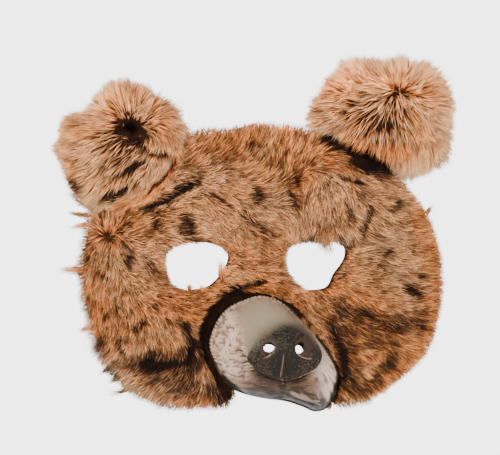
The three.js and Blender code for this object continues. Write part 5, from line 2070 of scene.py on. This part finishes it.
@dataclass(frozen=True)
class Sculpt:
    """The modelled and sprayed surface of the muzzle, worked out in the photograph's pixels.

    Args:
        pad: Outline of the nose pad.
        bridge: Outline of the smooth bridge.
        pad_lift: How far the pad stands out.
        bridge_lift: How far the bridge stands out.
        folds: What the wrinkles, grooves, ridges and pores add to the height, in metres.
        pale_lines: Painted highlights along the philtrum, the pad's edge, the nostril rims, wrinkles and
            lips.
        dark_spray_and_shade: The near black spray, with a painted shadow under the pad's lower edge.
        brown_spray_and_shade: The brown spray, which is partly painted shadow under the pad's overhang.
        pink_coat: The pink spray.
        lips: The glossy lip line.
        nostrils: The two bores.
    """

    pad: Outline
    bridge: Outline
    pad_lift: float
    bridge_lift: float
    folds: Drawing
    pale_lines: Drawing
    dark_spray_and_shade: Drawing
    brown_spray_and_shade: Drawing
    pink_coat: Drawing
    lips: Drawing
    nostrils: tuple[Nostril, Nostril]

    def pad_share(self, x: Array, z: Array) -> Array:
        """1 on the pad, 0 off it: a sharp step at its lower edge and a long ease at its top.

        Args:
            x: Places along X.
            z: Places along Z.

        Returns:
            One share for each place.
        """
        depth = self.pad.depth(x, z)
        top = smoothstep(z, NOSE_Z - 4 * MM, NOSE_Z + 8 * MM)
        low = smoothstep(depth, -0.4 * MM, 1.3 * MM)
        high = smoothstep(depth, -3.5 * MM, 6.0 * MM)
        return low + (high - low) * top

    @staticmethod
    def drawn_row(z: Array) -> Array:
        """Height in the drawing: the pad's lower edge is near the camera and drawn 4 px too low."""
        py = CENTRE_PY - z / PIXEL
        return z - 4.2 * PIXEL * smoothstep(py, 352.0, 375.0) * smoothstep(py, 398.0, 384.0)

    def height(self, x: Array, z: Array) -> Array:
        """Height over the plain dome: pad, bridge, folds, nostril rims and the grain of each zone.

        Args:
            x: Places along X.
            z: Places along Z.

        Returns:
            One height for each place.
        """
        z = self.drawn_row(z)
        px, py = photo_place(x, z)
        pad = self.pad_share(x, z)
        bridge = smoothstep(self.bridge.depth(x, z), -4 * MM, 4.5 * MM)
        rise = self.pad_lift * pad + self.bridge_lift * bridge * (1 - pad)
        rise += self.folds.total(x, z)
        for nostril in self.nostrils:
            ratio = nostril.ratio(px, py)
            collar = 0.15 * MM * np.exp(-(((ratio - 1.5) / 0.4) ** 2))
            rise += collar - 1.4 * MM * np.exp(-((ratio / 0.95) ** 4))
        rise += (1 - pad) * (1 - bridge) * 0.55 * MM * self.leather(x, z)
        return rise + pad * 0.12 * MM * lattice_noise(on_plane(x, z), 1.3 * MM, 64)

    @staticmethod
    def leather(x: Array, z: Array) -> Array:
        """Grain of the cheeks from -1 to 1: pitted at the left, hatched at the right.

        Args:
            x: Places along X.
            z: Places along Z.

        Returns:
            One number for each place.
        """
        px, py = photo_place(x, z)
        right = smoothstep(px, 306.0, 316.0)
        low = smoothstep(py, 378.0, 386.0) * (1 - right)
        pits = 1.2 * layered_noise(on_plane(x, z), 1.9 * MM, 61)
        pits += 0.5 * grain(px, py, 15.0, 6.0, 1.6, 65)
        hatch = grain(px, py, -58.0, 7.0, 1.5, 62)
        pits += right * (hatch - pits)
        return np.clip(pits + low * (grain(px, py, -4.0, 9.0, 1.3, 63) - pits), -1.0, 1.0)

    def nares(self, x: Array, z: Array) -> Array:
        """1 in and at the nostrils, 0 away from them."""
        px, py = photo_place(x, z)
        return np.maximum.reduce([smoothstep(nostril.ratio(px, py), 1.3, 1.05) for nostril in self.nostrils])

    def spray(self, x: Array, z: Array) -> Array:
        """Strengths of the grey, dark, brown and pink coats, one row for each place.

        The dark and brown coats also hold painted shadow under the pad.

        Args:
            x: Places along X.
            z: Places along Z.

        Returns:
            Four rows of strengths.
        """
        z = self.drawn_row(z)
        bridge = smoothstep(self.bridge.depth(x, z), -3.5 * MM, 5 * MM)
        pad = self.pad_share(x, z)
        dark = np.maximum(self.dark_spray_and_shade.cover(x, z), 0.85 * pad)
        return np.stack([bridge, dark, self.brown_spray_and_shade.cover(x, z), self.pink_coat.cover(x, z)], axis=1)

    def relief(self, x: Array, z: Array) -> Array:
        """Depth of the creases, shine and pale edges, one row for each place.

        Creases hold patina and painted shade; the pale marks are painted highlights and paler raised tops.

        Args:
            x: Places along X.
            z: Places along Z.

        Returns:
            Three rows of strengths.
        """
        z = self.drawn_row(z)
        folds = self.folds.total(x, z)
        # Crease colour: patina in the pits and wrinkles, painted shade in the nostrils and under the pad's
        # edge.
        creases = smoothstep(-folds, 0.15 * MM, 0.9 * MM)
        creases = np.maximum(creases, self.nares(x, z))
        cheek = 1 - np.maximum(self.pad_share(x, z), smoothstep(self.bridge.depth(x, z), -3.5 * MM, 5 * MM))
        leather = self.leather(x, z)
        creases = np.maximum(creases, 0.62 * cheek * smoothstep(-leather, 0.05, 0.65))
        ridges = smoothstep(folds, 0.15 * MM, 0.6 * MM)
        shine = np.maximum(self.lips.cover(x, z), 0.35 * self.pad_share(x, z))
        # Pale along the drawn lines as painted highlight, and paler on the raised folds.
        pale = np.maximum(self.pale_lines.cover(x, z), 0.5 * ridges)
        bare = 1 - np.clip(self.brown_spray_and_shade.cover(x, z) + self.dark_spray_and_shade.cover(x, z), 0, 1)
        # Paler on the tops of the bare cheeks' grain.
        pale_grain_tops = 0.4 * bare * cheek * smoothstep(leather, 0.15, 0.7)
        pale = np.maximum(pale, pale_grain_tops) * (1 - self.lips.cover(x, z))
        return np.stack([creases, shine, pale, np.ones(len(x))], axis=1)


LOWER_PAD_EDGE = (
    (249.0, 358.5), (255.0, 366.5), (261.0, 372.2), (267.0, 376.2), (273.0, 379.0), (280.0, 381.0),
    (287.0, 381.8), (294.0, 380.6), (300.0, 378.0), (306.0, 374.6), (313.0, 370.4),
)
PHILTRUM = ((284.2, 348.0), (283.6, 358.0), (282.6, 368.0), (281.4, 378.0), (281.6, 389.0))
LIP_LINE = (
    (236.0, 390.0), (250.0, 393.5), (266.0, 395.5), (279.0, 397.5), (288.0, 400.0), (297.0, 404.0),
    (306.0, 408.0), (314.0, 410.0), (323.0, 409.0), (331.0, 404.0),
)
PORES = (
    (233.3, 337.6), (236.0, 338.6), (239.3, 340.0), (242.2, 340.6), (229.6, 343.2), (223.0, 341.8),
    (221.7, 346.2), (226.0, 350.6), (230.0, 358.0), (229.6, 363.5), (234.2, 363.0), (226.8, 369.0),
    (241.6, 378.0), (242.5, 381.6), (237.5, 368.2), (223.5, 357.0), (236.5, 352.0), (217.5, 352.0),
    (234.0, 374.5), (229.0, 331.0), (222.5, 333.5), (248.0, 378.5), (240.5, 359.5), (226.0, 325.0),
)
BEAR_NOSE = Sculpt(
    pad=photo_outline(
        (250, 360), (256, 368), (262, 373), (269, 377), (277, 379.8), (286, 380.6), (294, 379.4),
        (301, 376.2), (308, 372), (314, 367), (318, 358), (317, 348), (311, 337), (303, 328), (293, 322),
        (282, 321), (271, 326), (261, 334), (253, 344), (248, 353),
    ),
    bridge=photo_outline(
        (239, 306), (248, 300), (260, 297), (273, 300), (286, 308), (298, 318), (308, 330), (316, 342),
        (320, 352), (317, 364), (304, 360), (286, 356), (264, 360), (253, 358), (246, 347), (240, 334),
        (236, 319),
    ),
    pad_lift=3.4 * MM,
    bridge_lift=0.7 * MM,
    folds=Drawing((
        Stroke(LOWER_PAD_EDGE, 1.5, -1.9 * MM), Stroke(PHILTRUM, 1.0, -1.4 * MM),
        Stroke(((282.3, 350.0), (281.4, 360.0), (280.2, 370.0), (279.2, 378.0)), 0.7, 0.12 * MM),
        Mark(282.0, 387.0, 5.0, 2.4, 90.0, -1.6 * MM),
        Stroke(((296.0, 349.5), (300.0, 353.4), (307.0, 356.6)), 2.0, -2.2 * MM),
        Stroke(((272.0, 350.5), (267.0, 354.5), (261.0, 356.8)), 2.0, -2.2 * MM),
        Stroke(((225.0, 327.4), (230.0, 326.0), (235.5, 326.8)), 1.2, -0.8 * MM),
        Stroke(((231.0, 350.4), (237.5, 347.6), (245.0, 348.8)), 1.2, -0.9 * MM),
        Stroke(((238.5, 355.4), (243.0, 353.4), (248.0, 354.6)), 1.2, -0.9 * MM),
        Stroke(((239.0, 363.6), (245.0, 360.6), (250.0, 360.4)), 1.2, -1.1 * MM),
        Stroke(((240.0, 366.8), (246.0, 364.2), (252.5, 363.4)), 1.1, -1.1 * MM),
        Stroke(((239.0, 369.6), (247.0, 367.2), (254.0, 367.2)), 1.1, -1.1 * MM),
        Stroke(((241.0, 373.0), (248.0, 371.2), (256.5, 371.4)), 1.2, -1.1 * MM),
        Stroke(((226.0, 343.0), (233.0, 345.0), (241.0, 343.4)), 1.1, -0.5 * MM),
        Stroke(((219.0, 362.0), (226.0, 359.0), (233.0, 359.6)), 1.1, -0.5 * MM),
        Stroke(((226.0, 376.0), (234.0, 379.0), (243.0, 379.4)), 1.2, -0.6 * MM),
        Stroke(((288.0, 384.0), (299.0, 383.0), (309.0, 378.6)), 1.2, -0.9 * MM),
        Stroke(((286.0, 388.6), (298.0, 389.6), (309.0, 388.0)), 1.2, -0.8 * MM),
        Stroke(((284.0, 392.5), (297.0, 397.0), (309.0, 401.0), (320.0, 402.5)), 1.2, -1.3 * MM),
        Stroke(((286.0, 391.0), (299.0, 394.4), (312.0, 398.0), (322.0, 399.0)), 1.3, 0.8 * MM),
        Stroke(((298.0, 390.0), (308.0, 393.4), (319.0, 394.6)), 1.1, -0.8 * MM),
        Stroke(((250.0, 386.4), (263.0, 389.0), (279.0, 391.0)), 1.3, -0.9 * MM),
        Stroke(LIP_LINE, 2.0, 1.2 * MM),
        *(Mark(px, py, 1.1, 1.1, 0.0, -0.7 * MM) for px, py in PORES),
    )),
    # Painted highlights: the philtrum's edge, the pad's lower rim, the nostril rims, the cheek wrinkles and
    # the lip folds.
    pale_lines=Drawing((
        Stroke(((283.0, 349.0), (282.2, 359.0), (281.0, 369.0), (280.0, 378.0)), 0.4, 0.3),
        Stroke(((289.0, 380.2), (298.0, 377.8), (304.5, 374.2), (311.0, 370.6), (315.0, 367.6)), 0.6, 0.5),
        Stroke(((275.6, 344.0), (273.4, 349.4), (268.0, 353.4), (262.0, 355.4)), 0.45, 0.45),
        Stroke(((293.6, 346.0), (295.4, 351.4), (300.6, 355.4), (308.0, 358.2)), 0.5, 0.5),
        Stroke(((242.0, 364.6), (250.0, 362.0)), 0.8, 0.8),
        Stroke(((242.0, 368.2), (252.0, 365.6)), 0.8, 0.8),
        Stroke(((243.0, 371.4), (254.0, 369.6)), 0.8, 0.8),
        Stroke(((298.0, 392.4), (311.0, 396.8)), 0.6, 0.35),
        Stroke(((311.0, 401.6), (321.0, 403.0)), 0.6, 0.5),
    )),
    # Near black spray on the pad and lips; the mark at (262, 377) is painted shadow under the pad's edge.
    dark_spray_and_shade=Drawing((
        Mark(284, 358, 27, 19, 0, 1.0), Mark(283, 370, 22, 10, 0, 0.85), Mark(286, 332, 14, 9, 0, 0.8),
        Mark(268, 345, 11, 11, 0, 0.85), Mark(300, 345, 11, 11, 0, 0.85), Stroke(LIP_LINE, 4.0, 1.6),
        Stroke(((286.0, 393.0), (299.0, 397.0), (311.0, 401.0), (322.0, 402.0)), 3.2, 0.9),
        Mark(262, 377, 9, 3.4, -28, 0.8), Mark(282, 387, 7, 2.6, 90, 0.8),
        Stroke(((286.0, 397.0), (300.0, 402.0), (316.0, 406.0), (330.0, 403.0)), 5.0, 1.3),
        Stroke(((284.0, 391.0), (296.0, 395.0), (309.0, 398.6), (320.0, 400.6), (330.0, 398.0)), 4.0, 1.2),
        Stroke(((262.0, 392.6), (274.0, 395.0), (285.0, 396.6)), 2.6, 0.8),
    )),
    # The marks under the pad are partly painted shadow of its overhang.
    brown_spray_and_shade=Drawing((
        Mark(298, 388, 19, 9, -6, 1.0), Mark(266, 385, 18, 7, -8, 0.85), Mark(256, 374, 10, 6, -30, 0.7),
        Mark(305, 398, 18, 7, -14, 0.9), Mark(270, 386, 30, 6, -4, 1.0), Mark(300, 386, 20, 8, 0, 0.8),
        Mark(283, 368, 14, 9, 0, 0.35), Mark(221, 350, 8, 26, 0, 0.12),
    )),
    pink_coat=Drawing((
        Mark(324, 366, 36, 10, -72, 1.0), Mark(325, 390, 13, 10, 40, 0.9), Mark(226, 345, 34, 12, 80, 0.35),
        Mark(232, 372, 16, 12, 0, 0.4),
    )),
    lips=Drawing((
        Stroke(LIP_LINE, 3.6, 1.0), Stroke(((286.0, 393.0), (299.0, 397.0), (320.0, 402.0)), 3.0, 0.9),
    )),
    nostrils=(Nostril(268.6, 346.0, 6.2, 6.2, (-0.4, -2.4)), Nostril(300.0, 345.6, 5.8, 6.2, (-2.6, -0.6))),
)


@dataclass(frozen=True)
class Muzzle:
    """The hollow vinyl muzzle: a sculpted dome, its inner wall, its sewing flange and its rolled lip.

    Args:
        sculpt: The modelled surface.
        wall: Thickness of the vinyl.
        roundness: Power that rounds the dome.
        flange: Width of the sewing flange behind the backing.
        flange_thickness: Its thickness.
        lip: Width of the rolled lower lip.
        lip_thickness: Its thickness.
        rings: Rings of the outer side.
        sides: Places round each ring.
        crowding: Power that crowds the rings towards the rim.
        stitch_gap: Distance between the whip stitches on the rim.
        thread: Thickness of their thread.
        edge_stations: Rings of the edge, each with its share of the sewn flange's width and thickness and
            of the free lip's width and thickness.
    """

    sculpt: Sculpt
    wall: float = 1.8 * MM
    roundness: float = 0.6
    flange: float = 4.3 * MM
    flange_thickness: float = 1.4 * MM
    lip: float = 1.5 * MM
    lip_thickness: float = 2.4 * MM
    rings: int = 104
    sides: int = 260
    crowding: float = 1.5
    stitch_gap: float = 2.1 * MM
    thread: float = 0.5 * MM
    edge_stations: tuple[tuple[float, float, float, float], ...] = (
        (0.5, 0.0, 0.7, 0.10), (1.0, 0.0, 1.0, 0.45), (1.0, 1.0, 0.8, 0.85), (0.5, 1.0, 0.3, 1.0),
    )

    def base(self, turn: Array, share: Array) -> Array:
        """Places on the plain dome.

        share runs from the nose, 0, to the rim, 1. X and Z run straight between them, and the depth eases
        from the rim's to the nose's by (1 - share^fullness)^roundness, where the fullness is the rim's
        own at that turn.

        Args:
            turn: Share of the way round the rim.
            share: Share of the way out to it.

        Returns:
            One place a row.
        """
        row = MUZZLE_RIM.at(turn % 1.0)
        out = row[:, :2] * np.array(MUZZLE_SIZE)
        nose = FACE.front(np.array([NOSE_X]), np.array([NOSE_Z]), 0.0)[0] - MUZZLE_REACH
        seat = FACE.front(NOSE_X + out[:, 0], NOSE_Z + out[:, 1], 0.0) + CLEARANCE
        rim = seat - np.maximum(row[:, 2], 0.0) * MUZZLE_REACH
        rise = np.maximum(1.0 - share ** row[:, 3], 0.0) ** self.roundness
        across, up = NOSE_X + out[:, 0] * share, NOSE_Z + out[:, 1] * share
        return np.stack([across, rim + (nose - rim) * rise, up], axis=1)

    def normals(self, places: Array) -> Array:
        """Outward normals of the grid of rings, by differences between neighbours.

        Args:
            places: Rows of X, Y and Z.

        Returns:
            One normal for each place.
        """
        grid = places.reshape(-1, self.sides, 3)
        around = np.roll(grid, -1, axis=1) - np.roll(grid, 1, axis=1)
        normal = unit(np.cross(np.gradient(grid, axis=0), around)).reshape(-1, 3)
        middle = np.array([NOSE_X, 0.0, NOSE_Z])
        return normal * np.where(((places - middle) * normal).sum(axis=1, keepdims=True) < 0, -1.0, 1.0)

    def edge_rings(self, rim: Array) -> list[Array]:
        """Rings of the edge from the outer rim to the inner one.

        Each station is a share of the flange's width and thickness where the rim is sewn in, and of the
        lip's where it is free, and the two are blended by how free the rim is.

        Args:
            rim: Places of the rim.

        Returns:
            One ring of places for each station.
        """
        turns = np.arange(self.sides) / self.sides
        free = smoothstep(MUZZLE_RIM.at(turns)[:, 2], 0.0, 0.06)[:, None]
        along = np.roll(rim, -1, axis=0) - np.roll(rim, 1, axis=0)
        out = unit(on_plane(along[:, 2], -along[:, 0]))
        out *= np.sign(((rim - np.array([NOSE_X, 0.0, NOSE_Z])) * out).sum(axis=1, keepdims=True))
        back = np.array([0.0, 1.0, 0.0])
        rings = []
        for sewn_out, sewn_back, free_out, free_back in self.edge_stations:
            sewn = rim + out * sewn_out * self.flange
            sewn[:, 1] = FACE.front(sewn[:, 0], sewn[:, 2], 0.0) + CLEARANCE
            sewn += back * sewn_back * self.flange_thickness
            rolled = rim + out * free_out * self.lip + back * free_back * self.lip_thickness
            rings.append(sewn + (rolled - sewn) * free)
        return rings

    def build_moulding(self) -> bpy.types.Object:
        """Builds the moulding as one closed shell: outer side, edge, inner side and two bores.

        Returns:
            The object.
        """
        v = np.linspace(0.0, 1.0, self.rings + 1)[1:]
        shares = 1.0 - (1.0 - v) ** self.crowding
        turns = np.arange(self.sides) / self.sides
        share, turn = (grid.ravel() for grid in np.meshgrid(shares, turns, indexing="ij"))
        plain = self.base(turn, share)
        normal = self.normals(plain)
        x, z = plain[:, 0], plain[:, 2]
        height = self.sculpt.height(x, z) * smoothstep(1.0 - share, 0.0, 0.03)
        outer = plain + normal * height[:, None]
        inner = plain - normal * self.wall
        inner[-self.sides:, 1] += self.flange_thickness
        quads, band = self.cut_nostrils(outer, inner)
        edge = self.edge_rings(outer[-self.sides:])
        flipped = inner.reshape(self.rings, self.sides, 3)[::-1].reshape(-1, 3)
        pole = self.base(np.zeros(1), np.zeros(1))
        pole_out = pole - np.array([[0.0, self.sculpt.height(pole[:, 0], pole[:, 2])[0], 0.0]])
        places = np.concatenate([outer, *edge, flipped, pole_out, pole + np.array([[0.0, self.wall, 0.0]])])
        caps = pole_fans(self.sides, len(places) - 2 - self.sides, len(places) - 2, len(places) - 1)
        piece = make_object("muzzle_moulding", places, [quads, band, caps])
        self.turn_outwards(piece)
        stations = len(self.edge_stations) - 2
        blank = np.zeros((stations * self.sides, 4))
        # The back rings of the flange and lip take the full crease colour: painted shade.
        hidden = np.tile([1.0, 0.0, 0.0, 0.0], (len(blank), 1))
        # The inner wall darkens round the nostrils: painted shade inside the bores.
        nares = self.sculpt.nares(x, z).reshape(self.rings, self.sides)[::-1].ravel()
        inside = np.stack([nares, *np.zeros((3, len(nares)))], axis=1)
        coats = self.sculpt.spray(x, z)
        free = smoothstep(MUZZLE_RIM.at(turn)[:, 2], 0.0, 0.06) * smoothstep(share, 0.90, 0.97)
        coats[:, 1] = np.maximum(coats[:, 1], 0.9 * free)
        lip = np.tile(coats[-self.sides:], (2, 1))
        # Along the sewn rim the crease colour is painted in as shade where the moulding meets the fur.
        sewn = smoothstep(MUZZLE_RIM.at(turn)[:, 2], 0.06, 0.0) * smoothstep(share, 0.965, 0.995)
        marks = self.sculpt.relief(x, z)
        marks[:, 0] = np.maximum(marks[:, 0], 0.85 * sewn)
        marks[:, 2] *= (1.0 - sewn) * (1.0 - 0.8 * free)
        lip_relief = np.tile(marks[-self.sides:], (2, 1))
        poles = np.zeros((2, 4))
        spray = [coats, lip, blank, 0.0 * inside, self.sculpt.spray(pole[:, 0], pole[:, 2])]
        relief = [marks, lip_relief, hidden, inside, poles]
        paint(piece, "spray", np.concatenate([*spray, poles[:1]]))
        paint(piece, "relief", np.concatenate(relief))
        return piece

    def cut_nostrils(self, outer: Array, inner: Array) -> tuple[Array, Array]:
        """Takes the nostrils out of both sides, moves their edges onto the ovals and walls each bore.

        Args:
            outer: Places of the outer side, which are moved in place.
            inner: Places of the inner side, which are moved in place.

        Returns:
            The quads of the whole shell without the nostrils, and the quads of the bores' walls.
        """
        stations = len(self.edge_stations)
        total = 2 * self.rings + stations
        quads = ring_faces(total, self.sides)
        px, py = CENTRE_PX + outer[:, 0] / PIXEL, CENTRE_PY - outer[:, 2] / PIXEL
        front = quads[: (self.rings - 1) * self.sides]
        hole = np.zeros(len(front), dtype=bool)
        for nostril in self.sculpt.nostrils:
            hole |= nostril.ratio(px[front].mean(axis=1), py[front].mean(axis=1)) < 1.0
        ring, side = np.divmod(np.arange(len(front)), self.sides)
        mirrored = (total - 2 - ring) * self.sides + side
        kept = np.ones(len(quads), dtype=bool)
        kept[np.flatnonzero(hole)] = False
        kept[mirrored[hole]] = False
        border = border_of(front[hole])
        rim = np.unique(border)
        nearest = np.argmin([nostril.ratio(px[rim], py[rim]) for nostril in self.sculpt.nostrils], axis=0)
        for number, nostril in enumerate(self.sculpt.nostrils):
            own = rim[nearest == number]
            x, z = outer[own, 0].copy(), outer[own, 2].copy()
            for places, lean in ((outer, 0.0), (inner, 1.0)):
                places[own, 0], places[own, 2] = nostril.onto_edge(x, z, lean)
        place_ring, place_side = np.divmod(border, self.sides)
        behind = (total - 1 - place_ring) * self.sides + place_side
        band = np.stack([border[:, 0], border[:, 1], behind[:, 1], behind[:, 0]], axis=1)
        return quads[kept], band

    @staticmethod
    def turn_outwards(piece: bpy.types.Object) -> None:
        """Has the faces of a closed piece recalculated so that they point outwards.

        Args:
            piece: The piece.
        """
        mesh = bmesh.new()
        mesh.from_mesh(piece.data)
        bmesh.ops.recalc_face_normals(mesh, faces=mesh.faces)
        mesh.to_mesh(piece.data)
        mesh.free()

    def build_stitches(self) -> bpy.types.Object:
        """Builds the whip stitches over the sewn rim, as short bent tubes a gap apart.

        Returns:
            The object.
        """
        turns = np.linspace(0.0, 1.0, 2000, endpoint=False)
        rim = self.base(turns, np.full(len(turns), 0.985))
        steps = np.linalg.norm(np.roll(rim, -1, axis=0) - rim, axis=1)
        gone = np.concatenate([[0.0], np.cumsum(steps)[:-1]])
        wanted = np.arange(0.0, gone[-1], self.stitch_gap)
        place = np.searchsorted(gone, wanted)
        sewn = MUZZLE_RIM.at(turns[place])[:, 2] < 0.01
        turn = turns[place[sewn]]
        low = self.base(turn, np.full(len(turn), 0.955))
        high = self.base(turn + 0.002, np.full(len(turn), 0.992))
        out = unit(low - np.array([NOSE_X, 0.02, NOSE_Z]))
        middle = (low + high) / 2 + out * 0.55 * MM
        return tube_bundle("muzzle_stitches", np.stack([low, middle, high], axis=1), self.thread / 2, sides=5)


def tube_bundle(name: str, paths: Array, radius: float, sides: int) -> bpy.types.Object:
    """Builds many short closed tubes as one piece.

    A ring square to the path stands at each point of each path, and its ends are closed by fans round
    their middles.

    Args:
        name: Name of the piece.
        paths: Points of each path: paths by points by three.
        radius: Radius of the tubes.
        sides: Sides of each ring.

    Returns:
        The new object.
    """
    count, points, _ = paths.shape
    along = unit(np.gradient(paths, axis=1))
    helper = np.where(np.abs(along[..., 1:2]) < 0.9, np.array([0.0, 1.0, 0.0]), np.array([1.0, 0.0, 0.0]))
    first = unit(np.cross(along, helper))
    second = np.cross(along, first)
    angle = 2 * math.pi * np.arange(sides) / sides
    ring = first[:, :, None] * np.cos(angle)[:, None] + second[:, :, None] * np.sin(angle)[:, None]
    tubes = (paths[:, :, None] + radius * ring).reshape(count, -1, 3)
    places = np.concatenate([tubes, paths[:, :1], paths[:, -1:]], axis=1)
    size = points * sides + 2
    caps = pole_fans(sides, (points - 1) * sides, size - 2, size - 1)
    start = size * np.arange(count)[:, None, None]
    quads = (ring_faces(points, sides)[None] + start).reshape(-1, 4)
    return make_object(name, places.reshape(-1, 3), [quads, (caps[None] + start).reshape(-1, 3)])


@dataclass
class Studio:
    """The plain pale surroundings, soft lights and the camera.

    Args:
        distance: Distance of the camera from the mask.
        floor_drop: How far the floor lies below the mask.
        wall: Distance of the wall behind the mask.
    """

    distance: float = 1.5
    floor_drop: float = 0.45
    wall: float = 0.9

    def build(self) -> None:
        """Builds the floor, the wall, the lights, the world and the camera."""
        self.build_room()
        self.build_light("key", (-0.5, -1.15, 0.6), 0.4, 48.0)
        self.build_light("fill", (0.85, -0.95, 0.1), 0.6, 16.0)
        self.build_light("top", (0.1, 0.1, 1.0), 0.5, 3.0)
        world = bpy.context.scene.world or bpy.data.worlds.new("pale_room")
        bpy.context.scene.world = world
        world.use_nodes = True
        world.node_tree.nodes["Background"].inputs["Color"].default_value = (0.95, 0.96, 1.0, 1.0)
        world.node_tree.nodes["Background"].inputs["Strength"].default_value = 0.2
        self.build_camera()

    def build_paper(self, name: str, places: Array, glow: float) -> None:
        """Builds one flat sheet of pale paper with a glow of its own, clear from behind.

        Args:
            name: The object's name.
            places: Its four corners.
            glow: Strength of its own light.
        """
        sheet = make_object(name, places, np.array([[0, 1, 2, 3]]), smooth=False)
        material = bpy.data.materials.new(name)
        material.use_nodes = True
        shader = next(n for n in material.node_tree.nodes if n.type == "BSDF_PRINCIPLED")
        shader.inputs["Base Color"].default_value = (0.93, 0.93, 0.93, 1.0)
        shader.inputs["Roughness"].default_value = 0.9
        shader.inputs["Emission Color"].default_value = (1.0, 1.0, 1.0, 1.0)
        shader.inputs["Emission Strength"].default_value = glow
        bench = Bench(material.node_tree)
        output = next(n for n in material.node_tree.nodes if n.type == "OUTPUT_MATERIAL")
        mix = bench.add("ShaderNodeMixShader")
        bench.join(bench.add("ShaderNodeNewGeometry").outputs["Backfacing"], mix.inputs["Fac"])
        bench.join(shader.outputs["BSDF"], mix.inputs[1])
        bench.join(bench.add("ShaderNodeBsdfTransparent").outputs["BSDF"], mix.inputs[2])
        bench.join(mix.outputs["Shader"], output.inputs["Surface"])
        sheet.data.materials.append(material)

    def build_room(self) -> None:
        """Builds the pale floor under the mask and the bright wall behind it."""
        low = CAD_BOX[0][2] - self.floor_drop
        wide, far, high = 3.0, -3.0, 2.2
        floor = [(-wide, far, low), (wide, far, low), (wide, self.wall, low), (-wide, self.wall, low)]
        wall = [(-wide, self.wall, low), (wide, self.wall, low), (wide, self.wall, high),
                (-wide, self.wall, high)]
        self.build_paper("studio_floor", np.array(floor), 0.0)
        self.build_paper("studio_wall", np.array(wall), 2.2)

    @staticmethod
    def build_light(name: str, place: tuple[float, float, float], size: float, power: float) -> None:
        """Adds a square soft light that looks at the mask.

        Args:
            name: The object's name.
            place: Where it stands.
            size: Length of its side.
            power: Power in watts.
        """
        light = bpy.data.lights.new(name, "AREA")
        light.shape = "SQUARE"
        light.size = size
        light.energy = power
        lamp = bpy.data.objects.new(name, light)
        bpy.context.scene.collection.objects.link(lamp)
        lamp.location = place
        aim = np.array([0.0, 0.0, 0.0]) - np.array(place)
        across = math.atan2(aim[0], -aim[1])
        lamp.rotation_euler = (math.acos(-aim[2] / np.linalg.norm(aim)), 0.0, across + math.pi)

    def build_camera(self) -> None:
        """Adds the camera: level, square to the face, with the photograph's field."""
        data = bpy.data.cameras.new("portrait")
        data.sensor_width = 36.0
        data.lens = data.sensor_width * self.distance / (PHOTO_WIDTH * PIXEL)
        camera = bpy.data.objects.new("portrait", data)
        bpy.context.scene.collection.objects.link(camera)
        camera.location = (photo_x(PHOTO_WIDTH / 2), -self.distance, photo_z(PHOTO_HEIGHT / 2))
        camera.rotation_euler = (math.pi / 2, 0.0, 0.0)
        bpy.context.scene.camera = camera


def dress(piece: bpy.types.Object, material: bpy.types.Material, slot: str, *nodes: str) -> None:
    """Gives a piece its material, lets it ride on the mask and hides the solids that it stands for.

    Args:
        piece: The piece.
        material: Its material.
        slot: Not used.
        nodes: The solids that it stands for.
    """
    piece.data.materials.append(material)
    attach(piece, "root")
    if nodes:
        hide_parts(*nodes)
    faces = piece.data.polygons
    LOG.info("%s: %d faces", piece.name, len(faces))


def main() -> None:
    """Builds the mask piece by piece."""
    logging.basicConfig(level=logging.INFO, format="%(message)s")
    Studio().build()
    hair = HairFinish("fur_hair").material()
    skin = SkinFinish("fur_skin").material()
    felt = FeltFinish("felt").material()
    vinyl = VinylFinish("sprayed_vinyl").material()
    thread = ThreadFinish("thread").material()

    backing = Backing().build()
    dress(backing, felt, "felt", "face_backing")

    cloth = FurCloth()
    under = cloth.build_skin()
    dress(under, skin, "fur_cloth", "face_fur")
    for region in Region:
        dress(cloth.build_hair(region), hair, "fur_cloth", "face_fur")
    dress(cloth.build_wisps(), hair, "fur_cloth", "face_fur")

    for ear, node in ((LEFT_EAR, "ear_left"), (RIGHT_EAR, "ear_right")):
        pouch = ear.build_pouch()
        dress(pouch, skin, "fur_cloth", node)
        dress(ear.build_hair(), hair, "fur_cloth", node)

    muzzle = Muzzle(sculpt=BEAR_NOSE)
    dress(muzzle.build_moulding(), vinyl, "vinyl", "muzzle")
    dress(muzzle.build_stitches(), thread, "vinyl")


if __name__ == "__main__":
    main()
